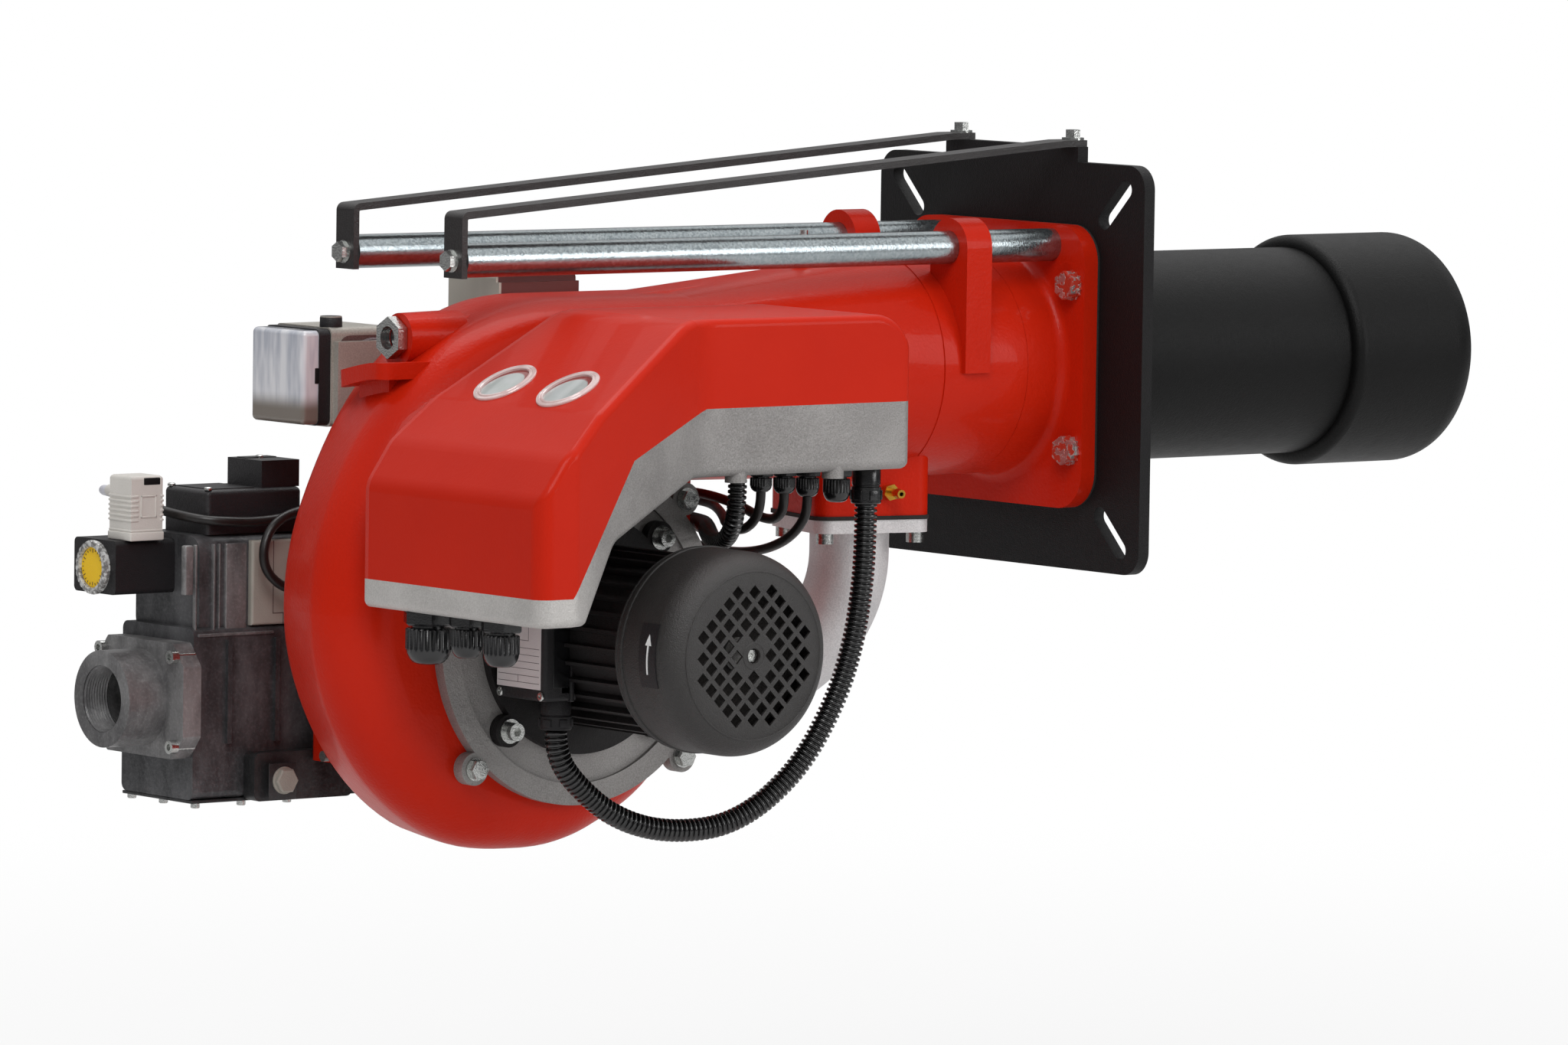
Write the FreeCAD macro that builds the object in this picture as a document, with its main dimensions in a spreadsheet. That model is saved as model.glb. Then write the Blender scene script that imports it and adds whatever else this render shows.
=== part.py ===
import FreeCAD, Part
import math
import os
import Sketcher
from FreeCAD import Placement, Rotation, Vector

# Industrial gas burner, millimetres, +Z up, +X into the boiler, the motor on the -Y side.
# The origin is on the axis of the blast tube, in the boiler-side face of the mounting plate.

os.makedirs("parts", exist_ok=True)
doc = FreeCAD.newDocument("GasBurner")
sheet = doc.addObject("Spreadsheet::Sheet", "Sizes")
DIAGONAL = math.sqrt(0.5)
SIDES = {"front": -1, "rear": 1}


class Size:
    """A number together with the sheet expression that gives it."""

    def __init__(self, number, text):
        self.number = float(number)
        self.text = text

    def __float__(self):
        return self.number

    def __add__(self, other):
        return joined(self, "+", other, self.number + float(other))

    def __radd__(self, other):
        return joined(other, "+", self, float(other) + self.number)

    def __sub__(self, other):
        return joined(self, "-", other, self.number - float(other))

    def __rsub__(self, other):
        return joined(other, "-", self, float(other) - self.number)

    def __mul__(self, other):
        return joined(self, "*", other, self.number * float(other))

    def __rmul__(self, other):
        return joined(other, "*", self, float(other) * self.number)

    def __truediv__(self, other):
        return joined(self, "/", other, self.number / float(other))

    def __neg__(self):
        return joined(-1, "*", self, -self.number)


def joined(left, sign, right, number):
    texts = [part.text if isinstance(part, Size) else repr(float(part)) for part in (left, right)]
    return Size(number, "(%s %s %s)" % (texts[0], sign, texts[1]))


rows = []


def size(alias, number, note):
    """Write one driving size into the sheet and return it."""
    rows.append(alias)
    sheet.set("A%d" % len(rows), note)
    sheet.set("B%d" % len(rows), str(number))
    sheet.setAlias("B%d" % len(rows), alias)
    return Size(number, "Sizes." + alias)


# Clearances
press_gap = size("press_gap", 0.02, "radial gap of a press or screw fit")
running_gap = size("running_gap", 0.08, "radial gap of a shaft or bar that slides or turns")
face_gap = size("face_gap", 0.3, "gap between faces of parts that move apart")

# Mounting plate, blast tube and flame head
plate_thick = size("plate_thick", 10, "mounting plate, thickness")
plate_half_width = size("plate_half_width", 158, "mounting plate, half width")
plate_half_height = size("plate_half_height", 154, "mounting plate, half height")
plate_corner = size("plate_corner", 18, "mounting plate, corner radius")
tab_half_width = size("tab_half_width", 79, "tab on the plate for the straps, half width")
tab_rise = size("tab_rise", 11.5, "tab on the plate, height over the plate")
slot_circle = size("slot_circle", 175, "radius on which the four boiler slots are centred")
slot_half_run = size("slot_half_run", 17, "boiler slot, half distance between end centres")
slot_radius = size("slot_radius", 7, "boiler slot, half width")
tube_radius = size("tube_radius", 80, "blast tube, outer radius")
tube_wall = size("tube_wall", 3, "blast tube, wall")
tube_length = size("tube_length", 290, "blast tube, length beyond the plate")
tube_seat = size("tube_seat", 50, "blast tube, length behind the plate's boiler face")
plate_bore_gap = size("plate_bore_gap", 1.5, "gap round the tube in the plate")
gasket_thick = size("gasket_thick", 2, "gasket between flange and plate")
flange_half = size("flange_half", 107, "fixed flange, half side")
flange_thick = size("flange_thick", 13, "fixed flange, thickness")
flange_corner = size("flange_corner", 28, "fixed flange, corner radius")
collar_radius = size("collar_radius", 85, "collar of the fixed flange, outer radius")
collar_length = size("collar_length", 35, "collar of the fixed flange, length")
collar_root = size("collar_root", 8, "fillet between collar and flange")
bolt_y = size("bolt_y", 93.5, "flange bolts, distance from the middle plane")
bolt_z = size("bolt_z", 62.3, "flange bolts, height over and under the axis")
bolt_radius = size("bolt_radius", 6, "flange bolt, shank radius")
bolt_flats = size("bolt_flats", 19, "flange bolt, across flats")
bolt_head = size("bolt_head", 7.5, "flange bolt, head height")
bar_radius = size("bar_radius", 12.5, "slide bar, radius")
bar_y = size("bar_y", 66.8, "slide bars, distance from the middle plane")
bar_z = size("bar_z", 91.6, "slide bars, height over the axis")
bar_end = size("bar_end", 580, "slide bars, rear end behind the plate's boiler face")
strap_hole_radius = size("strap_hole_radius", 3, "strap screw, shank radius")
strap_hole_depth = size("strap_hole_depth", 14, "strap screw, depth in the plate")
tooth_outer = size("tooth_outer", 11.6, "toothed washer, outer radius")
tooth_inner = size("tooth_inner", 9.8, "toothed washer, radius between the teeth")
tooth_thick = size("tooth_thick", 2.2, "toothed washer, thickness")
head_radius = size("head_radius", 89.5, "flame head, outer radius")
head_overlap = size("head_overlap", 22, "flame head, length over the end of the tube")
head_length = size("head_length", 130, "flame head, length")
head_wall = size("head_wall", 4, "flame head, wall")
head_nose = size("head_nose", 28, "flame head, rounding of the mouth")
head_shoulder = size("head_shoulder", 8, "flame head, rounding of the rear rim")
head_mouth = size("head_mouth", 60, "flame head, radius of the mouth")
head_seat = size("head_seat", 14, "flame head, length of the seat on the tube")

# Slide bars, straps and their bolts
strap_thick = size("strap_thick", 5, "strap, thickness")
strap_width = size("strap_width", 22, "strap, width")
strap_top = size("strap_top", 127, "strap, height of the bend over the bars")
strap_foot = size("strap_foot", 79, "strap, height of its lower end")
strap_bend = size("strap_bend", 6, "strap, outer bend radius")
strap_flat = size("strap_flat", 20, "strap, length that lies on the plate")
end_bolt_radius = size("end_bolt_radius", 4, "strap end bolt, shank radius")
end_bolt_depth = size("end_bolt_depth", 22, "strap end bolt, depth in the bar")
end_bolt_flats = size("end_bolt_flats", 13, "strap end bolt, across flats")
end_bolt_head = size("end_bolt_head", 5.5, "strap end bolt, head height")
end_washer = size("end_washer", 8.4, "strap washers, outer radius")
end_washer_thick = size("end_washer_thick", 1.6, "strap washers, thickness")
top_screw_flats = size("top_screw_flats", 10, "strap screw on the plate, across flats")
top_screw_head = size("top_screw_head", 6, "strap screw on the plate, head height")

# Air housing: a cast scroll that narrows into a round neck, carried by two lugs on the bars
motor_x = size("motor_x", -476, "motor axis, distance along the burner")
motor_z = size("motor_z", -182, "motor axis, height")
scroll_radius = size("scroll_radius", 166, "scroll, mean radius")
scroll_step = size("scroll_step", 19, "scroll, half the step between the centres of its arcs")
scroll_half_width = size("scroll_half_width", 72, "scroll, half width")
scroll_round = size("scroll_round", 42, "scroll, rounding of the outer edges")
scroll_corner = size("scroll_corner", 50, "scroll, corner over the outlet")
cast_wall = size("cast_wall", 6, "air housing, wall")
duct_low = size("duct_low", -78, "duct, height of its floor at the scroll")
duct_start = size("duct_start", -420, "duct, section at the scroll")
duct_end = size("duct_end", -140, "duct, round section at the neck")
neck_radius = size("neck_radius", 85, "neck, outer radius")
opening_radius = size("opening_radius", 105, "opening for the motor plate, radius")
eye_radius = size("eye_radius", 64, "air inlet eye, radius")
lug_x = size("lug_x", -124, "lugs on the neck, rear face")
lug_thick = size("lug_thick", 24, "lugs on the neck, thickness")
lug_radius = size("lug_radius", 22, "lugs on the neck, outer radius round the bars")
lug_low = size("lug_low", -2, "lugs on the neck, lower end")
boss_x = size("boss_x", -162, "gas inlet boss, centre")
boss_half = size("boss_half", 47, "gas inlet boss, half side")
boss_corner = size("boss_corner", 12, "gas inlet boss, corner radius")
boss_turn = size("boss_turn", -14, "gas inlet boss, turn about its upright axis")
boss_face = size("boss_face", -110, "gas inlet boss, height of its lower face")
gas_bore = size("gas_bore", 26, "gas way, radius")
sight_y = size("sight_y", -8, "sight glass, distance from the middle plane")
sight_z = size("sight_z", 33, "sight glass, height")
sight_rear = size("sight_rear", -592, "sight glass boss, rear face")
sight_boss = size("sight_boss", 20, "sight glass boss, radius")
sight_bore = size("sight_bore", 8.5, "sight glass, free radius")
port_rear = size("port_rear", -628, "flanged port on the scroll, rear end")
port_top = size("port_top", 17, "flanged port on the scroll, top")
port_flange = size("port_flange", 12, "flanged port on the scroll, flange thickness")
hood_back = size("hood_back", -90, "plane that the control hood stands on")

# Motor ring, plate, motor and fan cover, all round one axis across the burner
ring_outer = size("ring_outer", 126, "motor ring, outer radius")
ring_inner = size("ring_inner", 110, "motor ring, inner radius")
ring_thick = size("ring_thick", 10, "motor ring, thickness")
ring_tab_circle = size("ring_tab_circle", 134, "motor ring, radius of its screw circle")
ring_tab = size("ring_tab", 12, "motor ring, radius of its tabs")
ring_screw_flats = size("ring_screw_flats", 13, "motor ring screws, across flats")
ring_screw_head = size("ring_screw_head", 5.5, "motor ring screws, head height")
ring_screw_collar = size("ring_screw_collar", 8.5, "motor ring screws, collar radius")
ring_screw_collar_thick = size("ring_screw_collar_thick", 1.6, "motor ring screws, collar thickness")
ring_screw_radius = size("ring_screw_radius", 4, "motor ring screws, shank radius")
disc_thick = size("disc_thick", 7, "motor plate, thickness")
disc_bore = size("disc_bore", 45, "motor plate, bore")
shield_radius = size("shield_radius", 88, "motor flange, radius")
shield_thick = size("shield_thick", 8, "motor flange, thickness")
ear_circle = size("ear_circle", 96, "motor flange, radius of its screw circle")
ear_radius = size("ear_radius", 12, "motor flange, radius of its ears")
ear_washer = size("ear_washer", 9, "motor flange screws, washer radius")
ear_washer_thick = size("ear_washer_thick", 1.8, "motor flange screws, washer thickness")
ear_screw_head = size("ear_screw_head", 6.5, "motor flange screws, head radius")
ear_screw_height = size("ear_screw_height", 8, "motor flange screws, head height")
ear_screw_radius = size("ear_screw_radius", 4, "motor flange screws, shank radius")
frame_radius = size("frame_radius", 62, "motor frame, outer radius without fins")
frame_bore = size("frame_bore", 54, "motor frame, bore")
frame_end = size("frame_end", -218, "motor frame, far end")
fin_reach = size("fin_reach", 67, "motor frame, radius over the fins")
fin_thick = size("fin_thick", 2.6, "motor frame, fin thickness")
rear_thick = size("rear_thick", 8, "motor rear shield, thickness")
lug_reach = size("lug_reach", 71.7, "motor rear shield, reach of its four lugs")
cover_radius = size("cover_radius", 74, "fan cover, outer radius")
cover_wall = size("cover_wall", 2, "fan cover, wall")
cover_round = size("cover_round", 14, "fan cover, rounding of the front edge")
cover_front = size("cover_front", -287, "fan cover, outer face")
grille_radius = size("grille_radius", 54, "fan cover grille, radius")
grille_pitch = size("grille_pitch", 10.8, "fan cover grille, distance between holes")
grille_hole = size("grille_hole", 7.4, "fan cover grille, side of a hole")
hub_radius = size("hub_radius", 10, "fan cover, plain hub radius")
hub_hole = size("hub_hole", 5.5, "fan cover, hole in the hub")
shaft_radius = size("shaft_radius", 12, "motor shaft, radius")
core_radius = size("core_radius", 36, "motor rotor core, radius")
stator_bore = size("stator_bore", 36.6, "motor stator, bore")
stack_length = size("stack_length", 80, "motor core and stator, length")
stack_start = size("stack_start", -190, "motor core and stator, outer end")
bearing_outer = size("bearing_outer", 26, "motor bearings, outer radius")

# The turning parts: shaft with its core, blower wheel, cooling fan
shaft_inner_end = size("shaft_inner_end", 52, "motor shaft, end inside the scroll")
shaft_outer_end = size("shaft_outer_end", -268, "motor shaft, end under the fan cover")
wheel_radius = size("wheel_radius", 102, "blower wheel, outer radius")
wheel_inner = size("wheel_inner", 78, "blower wheel, inner radius of the blades")
wheel_start = size("wheel_start", -58, "blower wheel, back plate face")
wheel_end = size("wheel_end", 54, "blower wheel, open end")
wheel_plate = size("wheel_plate", 3, "blower wheel, back plate thickness")
wheel_blade = size("wheel_blade", 2, "blower wheel, blade thickness")
wheel_hub = size("wheel_hub", 24, "blower wheel, hub radius")
wheel_hub_length = size("wheel_hub_length", 40, "blower wheel, hub length")
fan_radius = size("fan_radius", 58, "cooling fan, radius")
fan_start = size("fan_start", -264, "cooling fan, outer face")
fan_length = size("fan_length", 26, "cooling fan, length")

# Control hood: a red cover over a grey cast base, standing on the scroll's pads
hood_rear = size("hood_rear", -677, "control hood, rear end")
hood_front = size("hood_front", -289, "control hood, front end")
hood_top = size("hood_top", 56, "control hood, top")
hood_floor = size("hood_floor", -58, "control hood, underside at the front")
hood_rear_floor = size("hood_rear_floor", -153.5, "control hood, underside at the rear")
hood_reach = size("hood_reach", -300, "control hood, widest point on the near side")
hood_side = size("hood_side", -231, "control hood, near side at the front")
hood_wall = size("hood_wall", 3, "control hood, wall")
hood_seam = size("hood_seam", -8.5, "control hood, height of the seam at the front")
hood_round = size("hood_round", 6, "control hood, rounding of the top edges")
hood_plate = size("hood_plate", 4, "control hood, back plate thickness")
slope_x = size("slope_x", -509, "upper end of the hood's sloping face")
slope_z = size("slope_z", 53.5, "height of the upper end of the hood's sloping face")
slope_rise = size("slope_rise", 0.537, "rise of the hood's sloping face")
window_radius = size("window_radius", 24.5, "hood windows, rim radius")
window_glass = size("window_glass", 20, "hood windows, radius through the cover")
window_rim = size("window_rim", 2, "hood windows, rim height")
gland_size = size("gland_size", 20, "cable glands, across flats")
gland_length = size("gland_length", 27, "cable glands, length under the hood")
gland_thread = size("gland_thread", 8, "cable glands, thread radius")
cable_radius = size("cable_radius", 3.6, "control cables, radius")
cable_core = size("cable_core", 2.6, "bore of a gland for a control cable, radius")
conduit_radius = size("conduit_radius", 8.2, "corrugated conduit of the motor, radius")
conduit_core = size("conduit_core", 5.7, "bore of a gland for a conduit, radius")
loom_radius = size("loom_radius", 6.8, "corrugated conduit of the ignition, radius")
front_gland_y = size("front_gland_y", -197, "front cable glands, distance from the middle plane")
conduit_gland_x = size("conduit_gland_x", -304, "gland of the conduit under the hood")
rear_gland_x = size("rear_gland_x", -655, "rear cable glands, distance along the burner")

# Sight glass on the scroll and the two pressure test nipples
sight_nut_flats = size("sight_nut_flats", 27, "sight glass nut, across flats")
sight_nut_thick = size("sight_nut_thick", 8, "sight glass nut, thickness")
nipple_radius = size("nipple_radius", 4, "test nipples, radius")
nipple_length = size("nipple_length", 24, "test nipples, length outside the casting")
nipple_boss_top = size("nipple_boss_top", 79, "boss under the air pressure nipple, height of its top")
air_nipple_x = size("air_nipple_x", -210, "air pressure nipple, distance along the burner")

# Motor terminal box and its gland
terminal_near = size("terminal_near", -150, "terminal box, outer end along the motor")
terminal_length = size("terminal_length", 57, "terminal box, length along the motor")
terminal_reach = size("terminal_reach", 84, "terminal box, face of the lid to the motor axis")
terminal_lid = size("terminal_lid", 16, "terminal box, depth of the lid")
terminal_depth = size("terminal_depth", 28, "terminal box, depth over the motor frame")
terminal_drop = size("terminal_drop", 41, "terminal box, lower face under the motor axis")
terminal_height = size("terminal_height", 83, "terminal box, height")
terminal_round = size("terminal_round", 6, "terminal box, corner radius")
motor_gland_back = size("motor_gland_back", 62, "gland under the terminal box, distance behind the motor axis")
motor_gland_y = size("motor_gland_y", -135, "gland under the terminal box, distance from the middle plane")

# Gas train: gasket, elbow, valve block with its inlet flange, switch, coils and plug
elbow_face = size("elbow_face", -113, "gas elbow, upper face")
elbow_flange = size("elbow_flange", 10, "gas elbow, flange thickness")
elbow_pipe = size("elbow_pipe", 30, "gas elbow, outer radius of the pipe")
elbow_drop = size("elbow_drop", -140, "gas elbow, height where the first bend starts")
elbow_bend = size("elbow_bend", 103, "gas elbow, radius of the first bend")
elbow_turn = size("elbow_turn", 138, "gas elbow, direction of the level run")
elbow_level = size("elbow_level", 161.4, "gas elbow, length of the level run")
second_bend = size("second_bend", 90, "gas elbow, radius of the second bend")
valve_front = size("valve_front", -440, "gas valve, face towards the elbow")
elbow_screw_circle = size("elbow_screw_circle", 52.4, "gas elbow, radius of its screw circle")
elbow_screw_head = size("elbow_screw_head", 6.5, "gas elbow screws, head radius")
elbow_screw_height = size("elbow_screw_height", 8, "gas elbow screws, head height")
elbow_screw_radius = size("elbow_screw_radius", 4, "gas elbow screws, shank radius")
valve_rear = size("valve_rear", -655, "gas valve, face towards the inlet flange")
valve_half_width = size("valve_half_width", 46, "gas valve, half width")
valve_low = size("valve_low", -317, "gas valve, lower face")
valve_ledge = size("valve_ledge", -190, "gas valve, ledge between lower and upper block")
valve_top = size("valve_top", -122, "gas valve, upper face")
valve_bore = size("valve_bore", 24, "gas valve, gas way radius")
inlet_rear = size("inlet_rear", -705, "gas inlet flange, outer face")
inlet_neck = size("inlet_neck", 36, "gas inlet flange, radius of its socket")
inlet_plate = size("inlet_plate", 16, "gas inlet flange, thickness of its plate")
inlet_bore = size("inlet_bore", 24.9, "gas inlet flange, radius of its pipe thread")
inlet_depth = size("inlet_depth", 22, "gas inlet flange, depth of its pipe thread")
inlet_screw_y = size("inlet_screw_y", 46.3, "gas inlet screws, half distance across")
inlet_screw_z = size("inlet_screw_z", 33.3, "gas inlet screws, half distance up")
inlet_screw_head = size("inlet_screw_head", 5, "gas inlet screws, head radius")
inlet_screw_radius = size("inlet_screw_radius", 3, "gas inlet screws, shank radius")
inlet_screw_height = size("inlet_screw_height", 6, "gas inlet screws, head height")

# Valve fittings
bracket_near = size("bracket_near", 140, "test point block under the valve, near face")
test_plug_flats = size("test_plug_flats", 14, "valve test plug, across flats")
switch_rear = size("switch_rear", -700, "pressure switch, rear face")
upper_setback = size("upper_setback", 8, "gas valve, step back of the upper block's rear face")
switch_low = size("switch_low", -166, "pressure switch, lower face")
switch_height = size("switch_height", 40, "pressure switch, height")
switch_half_width = size("switch_half_width", 27, "pressure switch, half width")
dial_y = size("dial_y", 218, "pressure dial, distance from the middle plane")
dial_z = size("dial_z", -147, "pressure dial, height")
dial_radius = size("dial_radius", 17, "pressure dial, radius")
dial_thick = size("dial_thick", 4, "pressure dial, thickness")
dial_pin = size("dial_pin", 3, "pressure dial, pin radius")
dial_cover_radius = size("dial_cover_radius", 18.5, "clear cover over the dial, radius")
plug_rear = size("plug_rear", -690, "switch plug, rear face")
plug_side = size("plug_side", 28, "switch plug, side")
plug_height = size("plug_height", 48, "switch plug, height")
plug_y = size("plug_y", 200, "switch plug, distance from the middle plane")

# Damper servo motor on the scroll's far shoulder, and the ignition transformer on the duct
servo_rear = size("servo_rear", -598, "servo motor, rear face of its band")
servo_y = size("servo_y", 78, "servo motor, near side")
servo_width = size("servo_width", 70, "servo motor, width")
servo_low = size("servo_low", -38, "servo motor, lower face")
servo_height = size("servo_height", 73, "servo motor, height")
transformer_rear = size("transformer_rear", -440, "ignition transformer, rear face")
transformer_length = size("transformer_length", 74, "ignition transformer, length")
transformer_width = size("transformer_width", 62, "ignition transformer, width")
transformer_low = size("transformer_low", 22, "ignition transformer, lower face")
transformer_height = size("transformer_height", 49, "ignition transformer, height")
transformer_plate = size("transformer_plate", 4, "ignition transformer, thickness of its plate")
side_cover_thick = size("side_cover_thick", 5, "valve side cover, thickness")

# Air intake on the far side of the scroll, open underneath, with its damper
intake_rear = size("intake_rear", -560, "air intake, rear face")
intake_length = size("intake_length", 168, "air intake, length")
intake_width = size("intake_width", 68, "air intake, width")
intake_low = size("intake_low", -290, "air intake, mouth")
intake_height = size("intake_height", 216, "air intake, height")
intake_wall = size("intake_wall", 3, "air intake, wall")
damper_shaft = size("damper_shaft", 4, "air damper, shaft radius")
damper_rise = size("damper_rise", 6, "air damper, height over the mouth")
damper_thick = size("damper_thick", 2, "air damper, plate thickness")
damper_gap = size("damper_gap", 1, "air damper, gap to the intake's walls")

# Gas pipe, swirl plate and electrodes inside the blast tube
lance_radius = size("lance_radius", 24, "gas pipe in the tube, outer radius")
lance_bore = size("lance_bore", 20, "gas pipe in the tube, bore")
lance_bend = size("lance_bend", 45, "gas pipe in the tube, bend radius")
lance_reach = size("lance_reach", 55, "gas pipe in the tube, end beyond the tube")
swirl_reach = size("swirl_reach", 40, "swirl plate, rear face beyond the tube")
swirl_thick = size("swirl_thick", 3, "swirl plate, thickness")
swirl_radius = size("swirl_radius", 68, "swirl plate, radius")
electrode_y = size("electrode_y", 34, "electrodes, distance from the middle plane")
electrode_z = size("electrode_z", 22, "electrodes, height over the axis")
sleeve_radius = size("sleeve_radius", 5, "electrodes, radius of the insulator")
electrode_radius = size("electrode_radius", 1.6, "electrodes, radius of the wire")

sheet.recompute()


def vec(x, y, z):
    return Vector(float(x), float(y), float(z))


def bind(thing, prop, value):
    if isinstance(value, Size):
        thing.setExpression(prop, value.text)
    else:
        setattr(thing, prop, value)


def place(thing, at, turn=Rotation()):
    thing.Placement = Placement(vec(*at), turn)
    for letter, value in zip("xyz", at):
        if isinstance(value, Size):
            thing.setExpression("Placement.Base." + letter, value.text)


AXIS_TURN = {
    "x": Rotation(Vector(0, 1, 0), 90),
    "y": Rotation(Vector(1, 0, 0), -90),
    "z": Rotation(),
}


def cylinder(name, radius, length, at, axis="z"):
    thing = doc.addObject("Part::Cylinder", name)
    place(thing, at, AXIS_TURN[axis])
    bind(thing, "Radius", radius)
    bind(thing, "Height", length)
    return thing


def cone(name, start_radius, end_radius, length, at, axis="z"):
    thing = doc.addObject("Part::Cone", name)
    place(thing, at, AXIS_TURN[axis])
    bind(thing, "Radius1", start_radius)
    bind(thing, "Radius2", end_radius)
    bind(thing, "Height", length)
    return thing


def block(name, at, lengths):
    thing = doc.addObject("Part::Box", name)
    place(thing, at)
    for prop, value in zip(("Length", "Width", "Height"), lengths):
        bind(thing, prop, value)
    return thing


def prism(name, across_flats, length, at, axis="z", sides=6):
    thing = doc.addObject("Part::Prism", name)
    place(thing, at, AXIS_TURN[axis])
    thing.Polygon = sides
    bind(thing, "Circumradius", across_flats * (0.5 / math.cos(math.pi / sides)))
    bind(thing, "Height", length)
    return thing


def union(name, *shapes):
    thing = doc.addObject("Part::MultiFuse", name)
    thing.Shapes = list(shapes)
    return thing


def difference(name, base, *tools):
    thing = doc.addObject("Part::Cut", name)
    thing.Base = base
    thing.Tool = tools[0] if len(tools) == 1 else union(name + "_tools", *tools)
    return thing


def group(name, *shapes):
    thing = doc.addObject("Part::Compound", name)
    thing.Links = list(shapes)
    return thing


def mirrored(name, source):
    """The same piece on the other side of the burner's upright middle plane."""
    thing = doc.addObject("Part::Mirroring", name)
    thing.Source = source
    thing.Normal = Vector(0, 1, 0)
    return thing


def rounded(name, source, radius, wanted):
    """Round the edges of a piece for which wanted(edge) is true."""
    doc.recompute()
    thing = doc.addObject("Part::Fillet", name)
    thing.Base = source
    edges = source.Shape.Edges
    thing.Edges = [(i + 1, float(radius), float(radius)) for i, e in enumerate(edges) if wanted(e)]
    return thing


def shifted(at, axis, distance):
    return tuple(value + distance if letter == axis else value for letter, value in zip("xyz", at))


def tube(name, outer, inner, length, at, axis="z"):
    return difference(
        name,
        cylinder(name + "_outside", outer, length, at, axis),
        cylinder(name + "_bore", inner, length, at, axis),
    )


def on_seat(seat, out, head_length, shank_length):
    """Where a fastener's head and shank begin, for a head on the side that out names."""
    axis = out[1]
    if out[0] == "-":
        return shifted(seat, axis, -head_length), seat
    return seat, shifted(seat, axis, -shank_length)


def hex_bolt(name, seat, out, flats, head_length, shank_radius, shank_length):
    head_at, shank_at = on_seat(seat, out, head_length, shank_length)
    return union(
        name,
        prism(name + "_head", flats, head_length, head_at, out[1]),
        cylinder(name + "_shank", shank_radius, shank_length, shank_at, out[1]),
    )


def socket_screw(name, seat, out, head_radius, head_length, shank_radius, shank_length):
    head_at, shank_at = on_seat(seat, out, head_length, shank_length)
    deep = head_length * 0.5
    socket_at = head_at if out[0] == "-" else shifted(head_at, out[1], head_length - deep)
    return difference(
        name,
        union(
            name + "_blank",
            cylinder(name + "_head", head_radius, head_length, head_at, out[1]),
            cylinder(name + "_shank", shank_radius, shank_length, shank_at, out[1]),
        ),
        prism(name + "_socket", head_radius * 0.95, deep, socket_at, out[1]),
    )


def washer(name, outer, inner, thick, seat, out):
    at = shifted(seat, out[1], -thick) if out[0] == "-" else seat
    return tube(name, outer, inner, thick, at, out[1])


def new_body(name):
    return doc.addObject("PartDesign::Body", name)


def new_sketch(body, name, role, forward=0):
    """A sketch on one of the body's own planes, moved along the plane's normal by forward."""
    sketch = body.newObject("Sketcher::SketchObject", name)
    plane = [f for f in body.Origin.OriginFeatures if f.Role == role][0]
    sketch.AttachmentSupport = [(plane, "")]
    sketch.MapMode = "FlatFace"
    sketch.AttachmentOffset = Placement(vec(0, 0, forward), Rotation())
    if isinstance(forward, Size):
        sketch.setExpression("AttachmentOffset.Base.z", forward.text)
    return sketch


def pinned(sketch, geometry, point, at):
    """Tie one point of a sketch to the sizes that give its place."""
    for kind, value in zip(("DistanceX", "DistanceY"), at):
        rule = sketch.addConstraint(Sketcher.Constraint(kind, -1, 1, geometry, point, float(value)))
        if isinstance(value, Size):
            sketch.setExpression("Constraints[%d]" % rule, value.text)


def outline(sketch, points):
    """A closed line of straight runs through points, each tied to its sizes."""
    start = sketch.GeometryCount
    count = len(points)
    for i in range(count):
        after = points[(i + 1) % count]
        sketch.addGeometry(Part.LineSegment(vec(*points[i], 0), vec(*after, 0)), False)
    for i in range(count):
        sketch.addConstraint(Sketcher.Constraint("Coincident", start + i, 2, start + (i + 1) % count, 1))
    for i, at in enumerate(points):
        pinned(sketch, start + i, 1, at)


def ring_line(sketch, centre, radius):
    index = sketch.GeometryCount
    sketch.addGeometry(Part.Circle(vec(*centre, 0), Vector(0, 0, 1), float(radius)), False)
    rule = sketch.addConstraint(Sketcher.Constraint("Radius", index, float(radius)))
    if isinstance(radius, Size):
        sketch.setExpression("Constraints[%d]" % rule, radius.text)
    pinned(sketch, index, 3, centre)


def padded(body, name, sketch, length, reverse=False):
    pad = body.newObject("PartDesign::Pad", name)
    pad.Profile = sketch
    bind(pad, "Length", length)
    pad.Reversed = reverse
    doc.recompute()
    return pad


def pocketed(body, name, sketch, length, reverse=False):
    before = body.Shape.Volume
    pocket = body.newObject("PartDesign::Pocket", name)
    pocket.Profile = sketch
    bind(pocket, "Length", length)
    pocket.Reversed = reverse
    doc.recompute()
    if not body.Shape.Volume < before:
        raise ValueError(name + " cuts nothing")
    return pocket


def revolved(body, name, sketch, axis="H_Axis"):
    turn = body.newObject("PartDesign::Revolution", name)
    turn.Profile = sketch
    turn.ReferenceAxis = (sketch, [axis])
    turn.Angle = 360
    doc.recompute()
    return turn


def filleted(body, name, radius, wanted):
    base = body.Tip
    names = ["Edge%d" % (i + 1) for i, e in enumerate(base.Shape.Edges) if wanted(e)]
    fillet = body.newObject("PartDesign::Fillet", name)
    fillet.Base = (base, names)
    bind(fillet, "Radius", radius)
    doc.recompute()
    return fillet


def patterned(body, name, features, axis_sketch, axis, count):
    pattern = body.newObject("PartDesign::PolarPattern", name)
    pattern.Originals = features
    pattern.Axis = (axis_sketch, [axis])
    pattern.Angle = 360
    pattern.Occurrences = count
    body.Tip = pattern
    doc.recompute()
    return pattern


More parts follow.
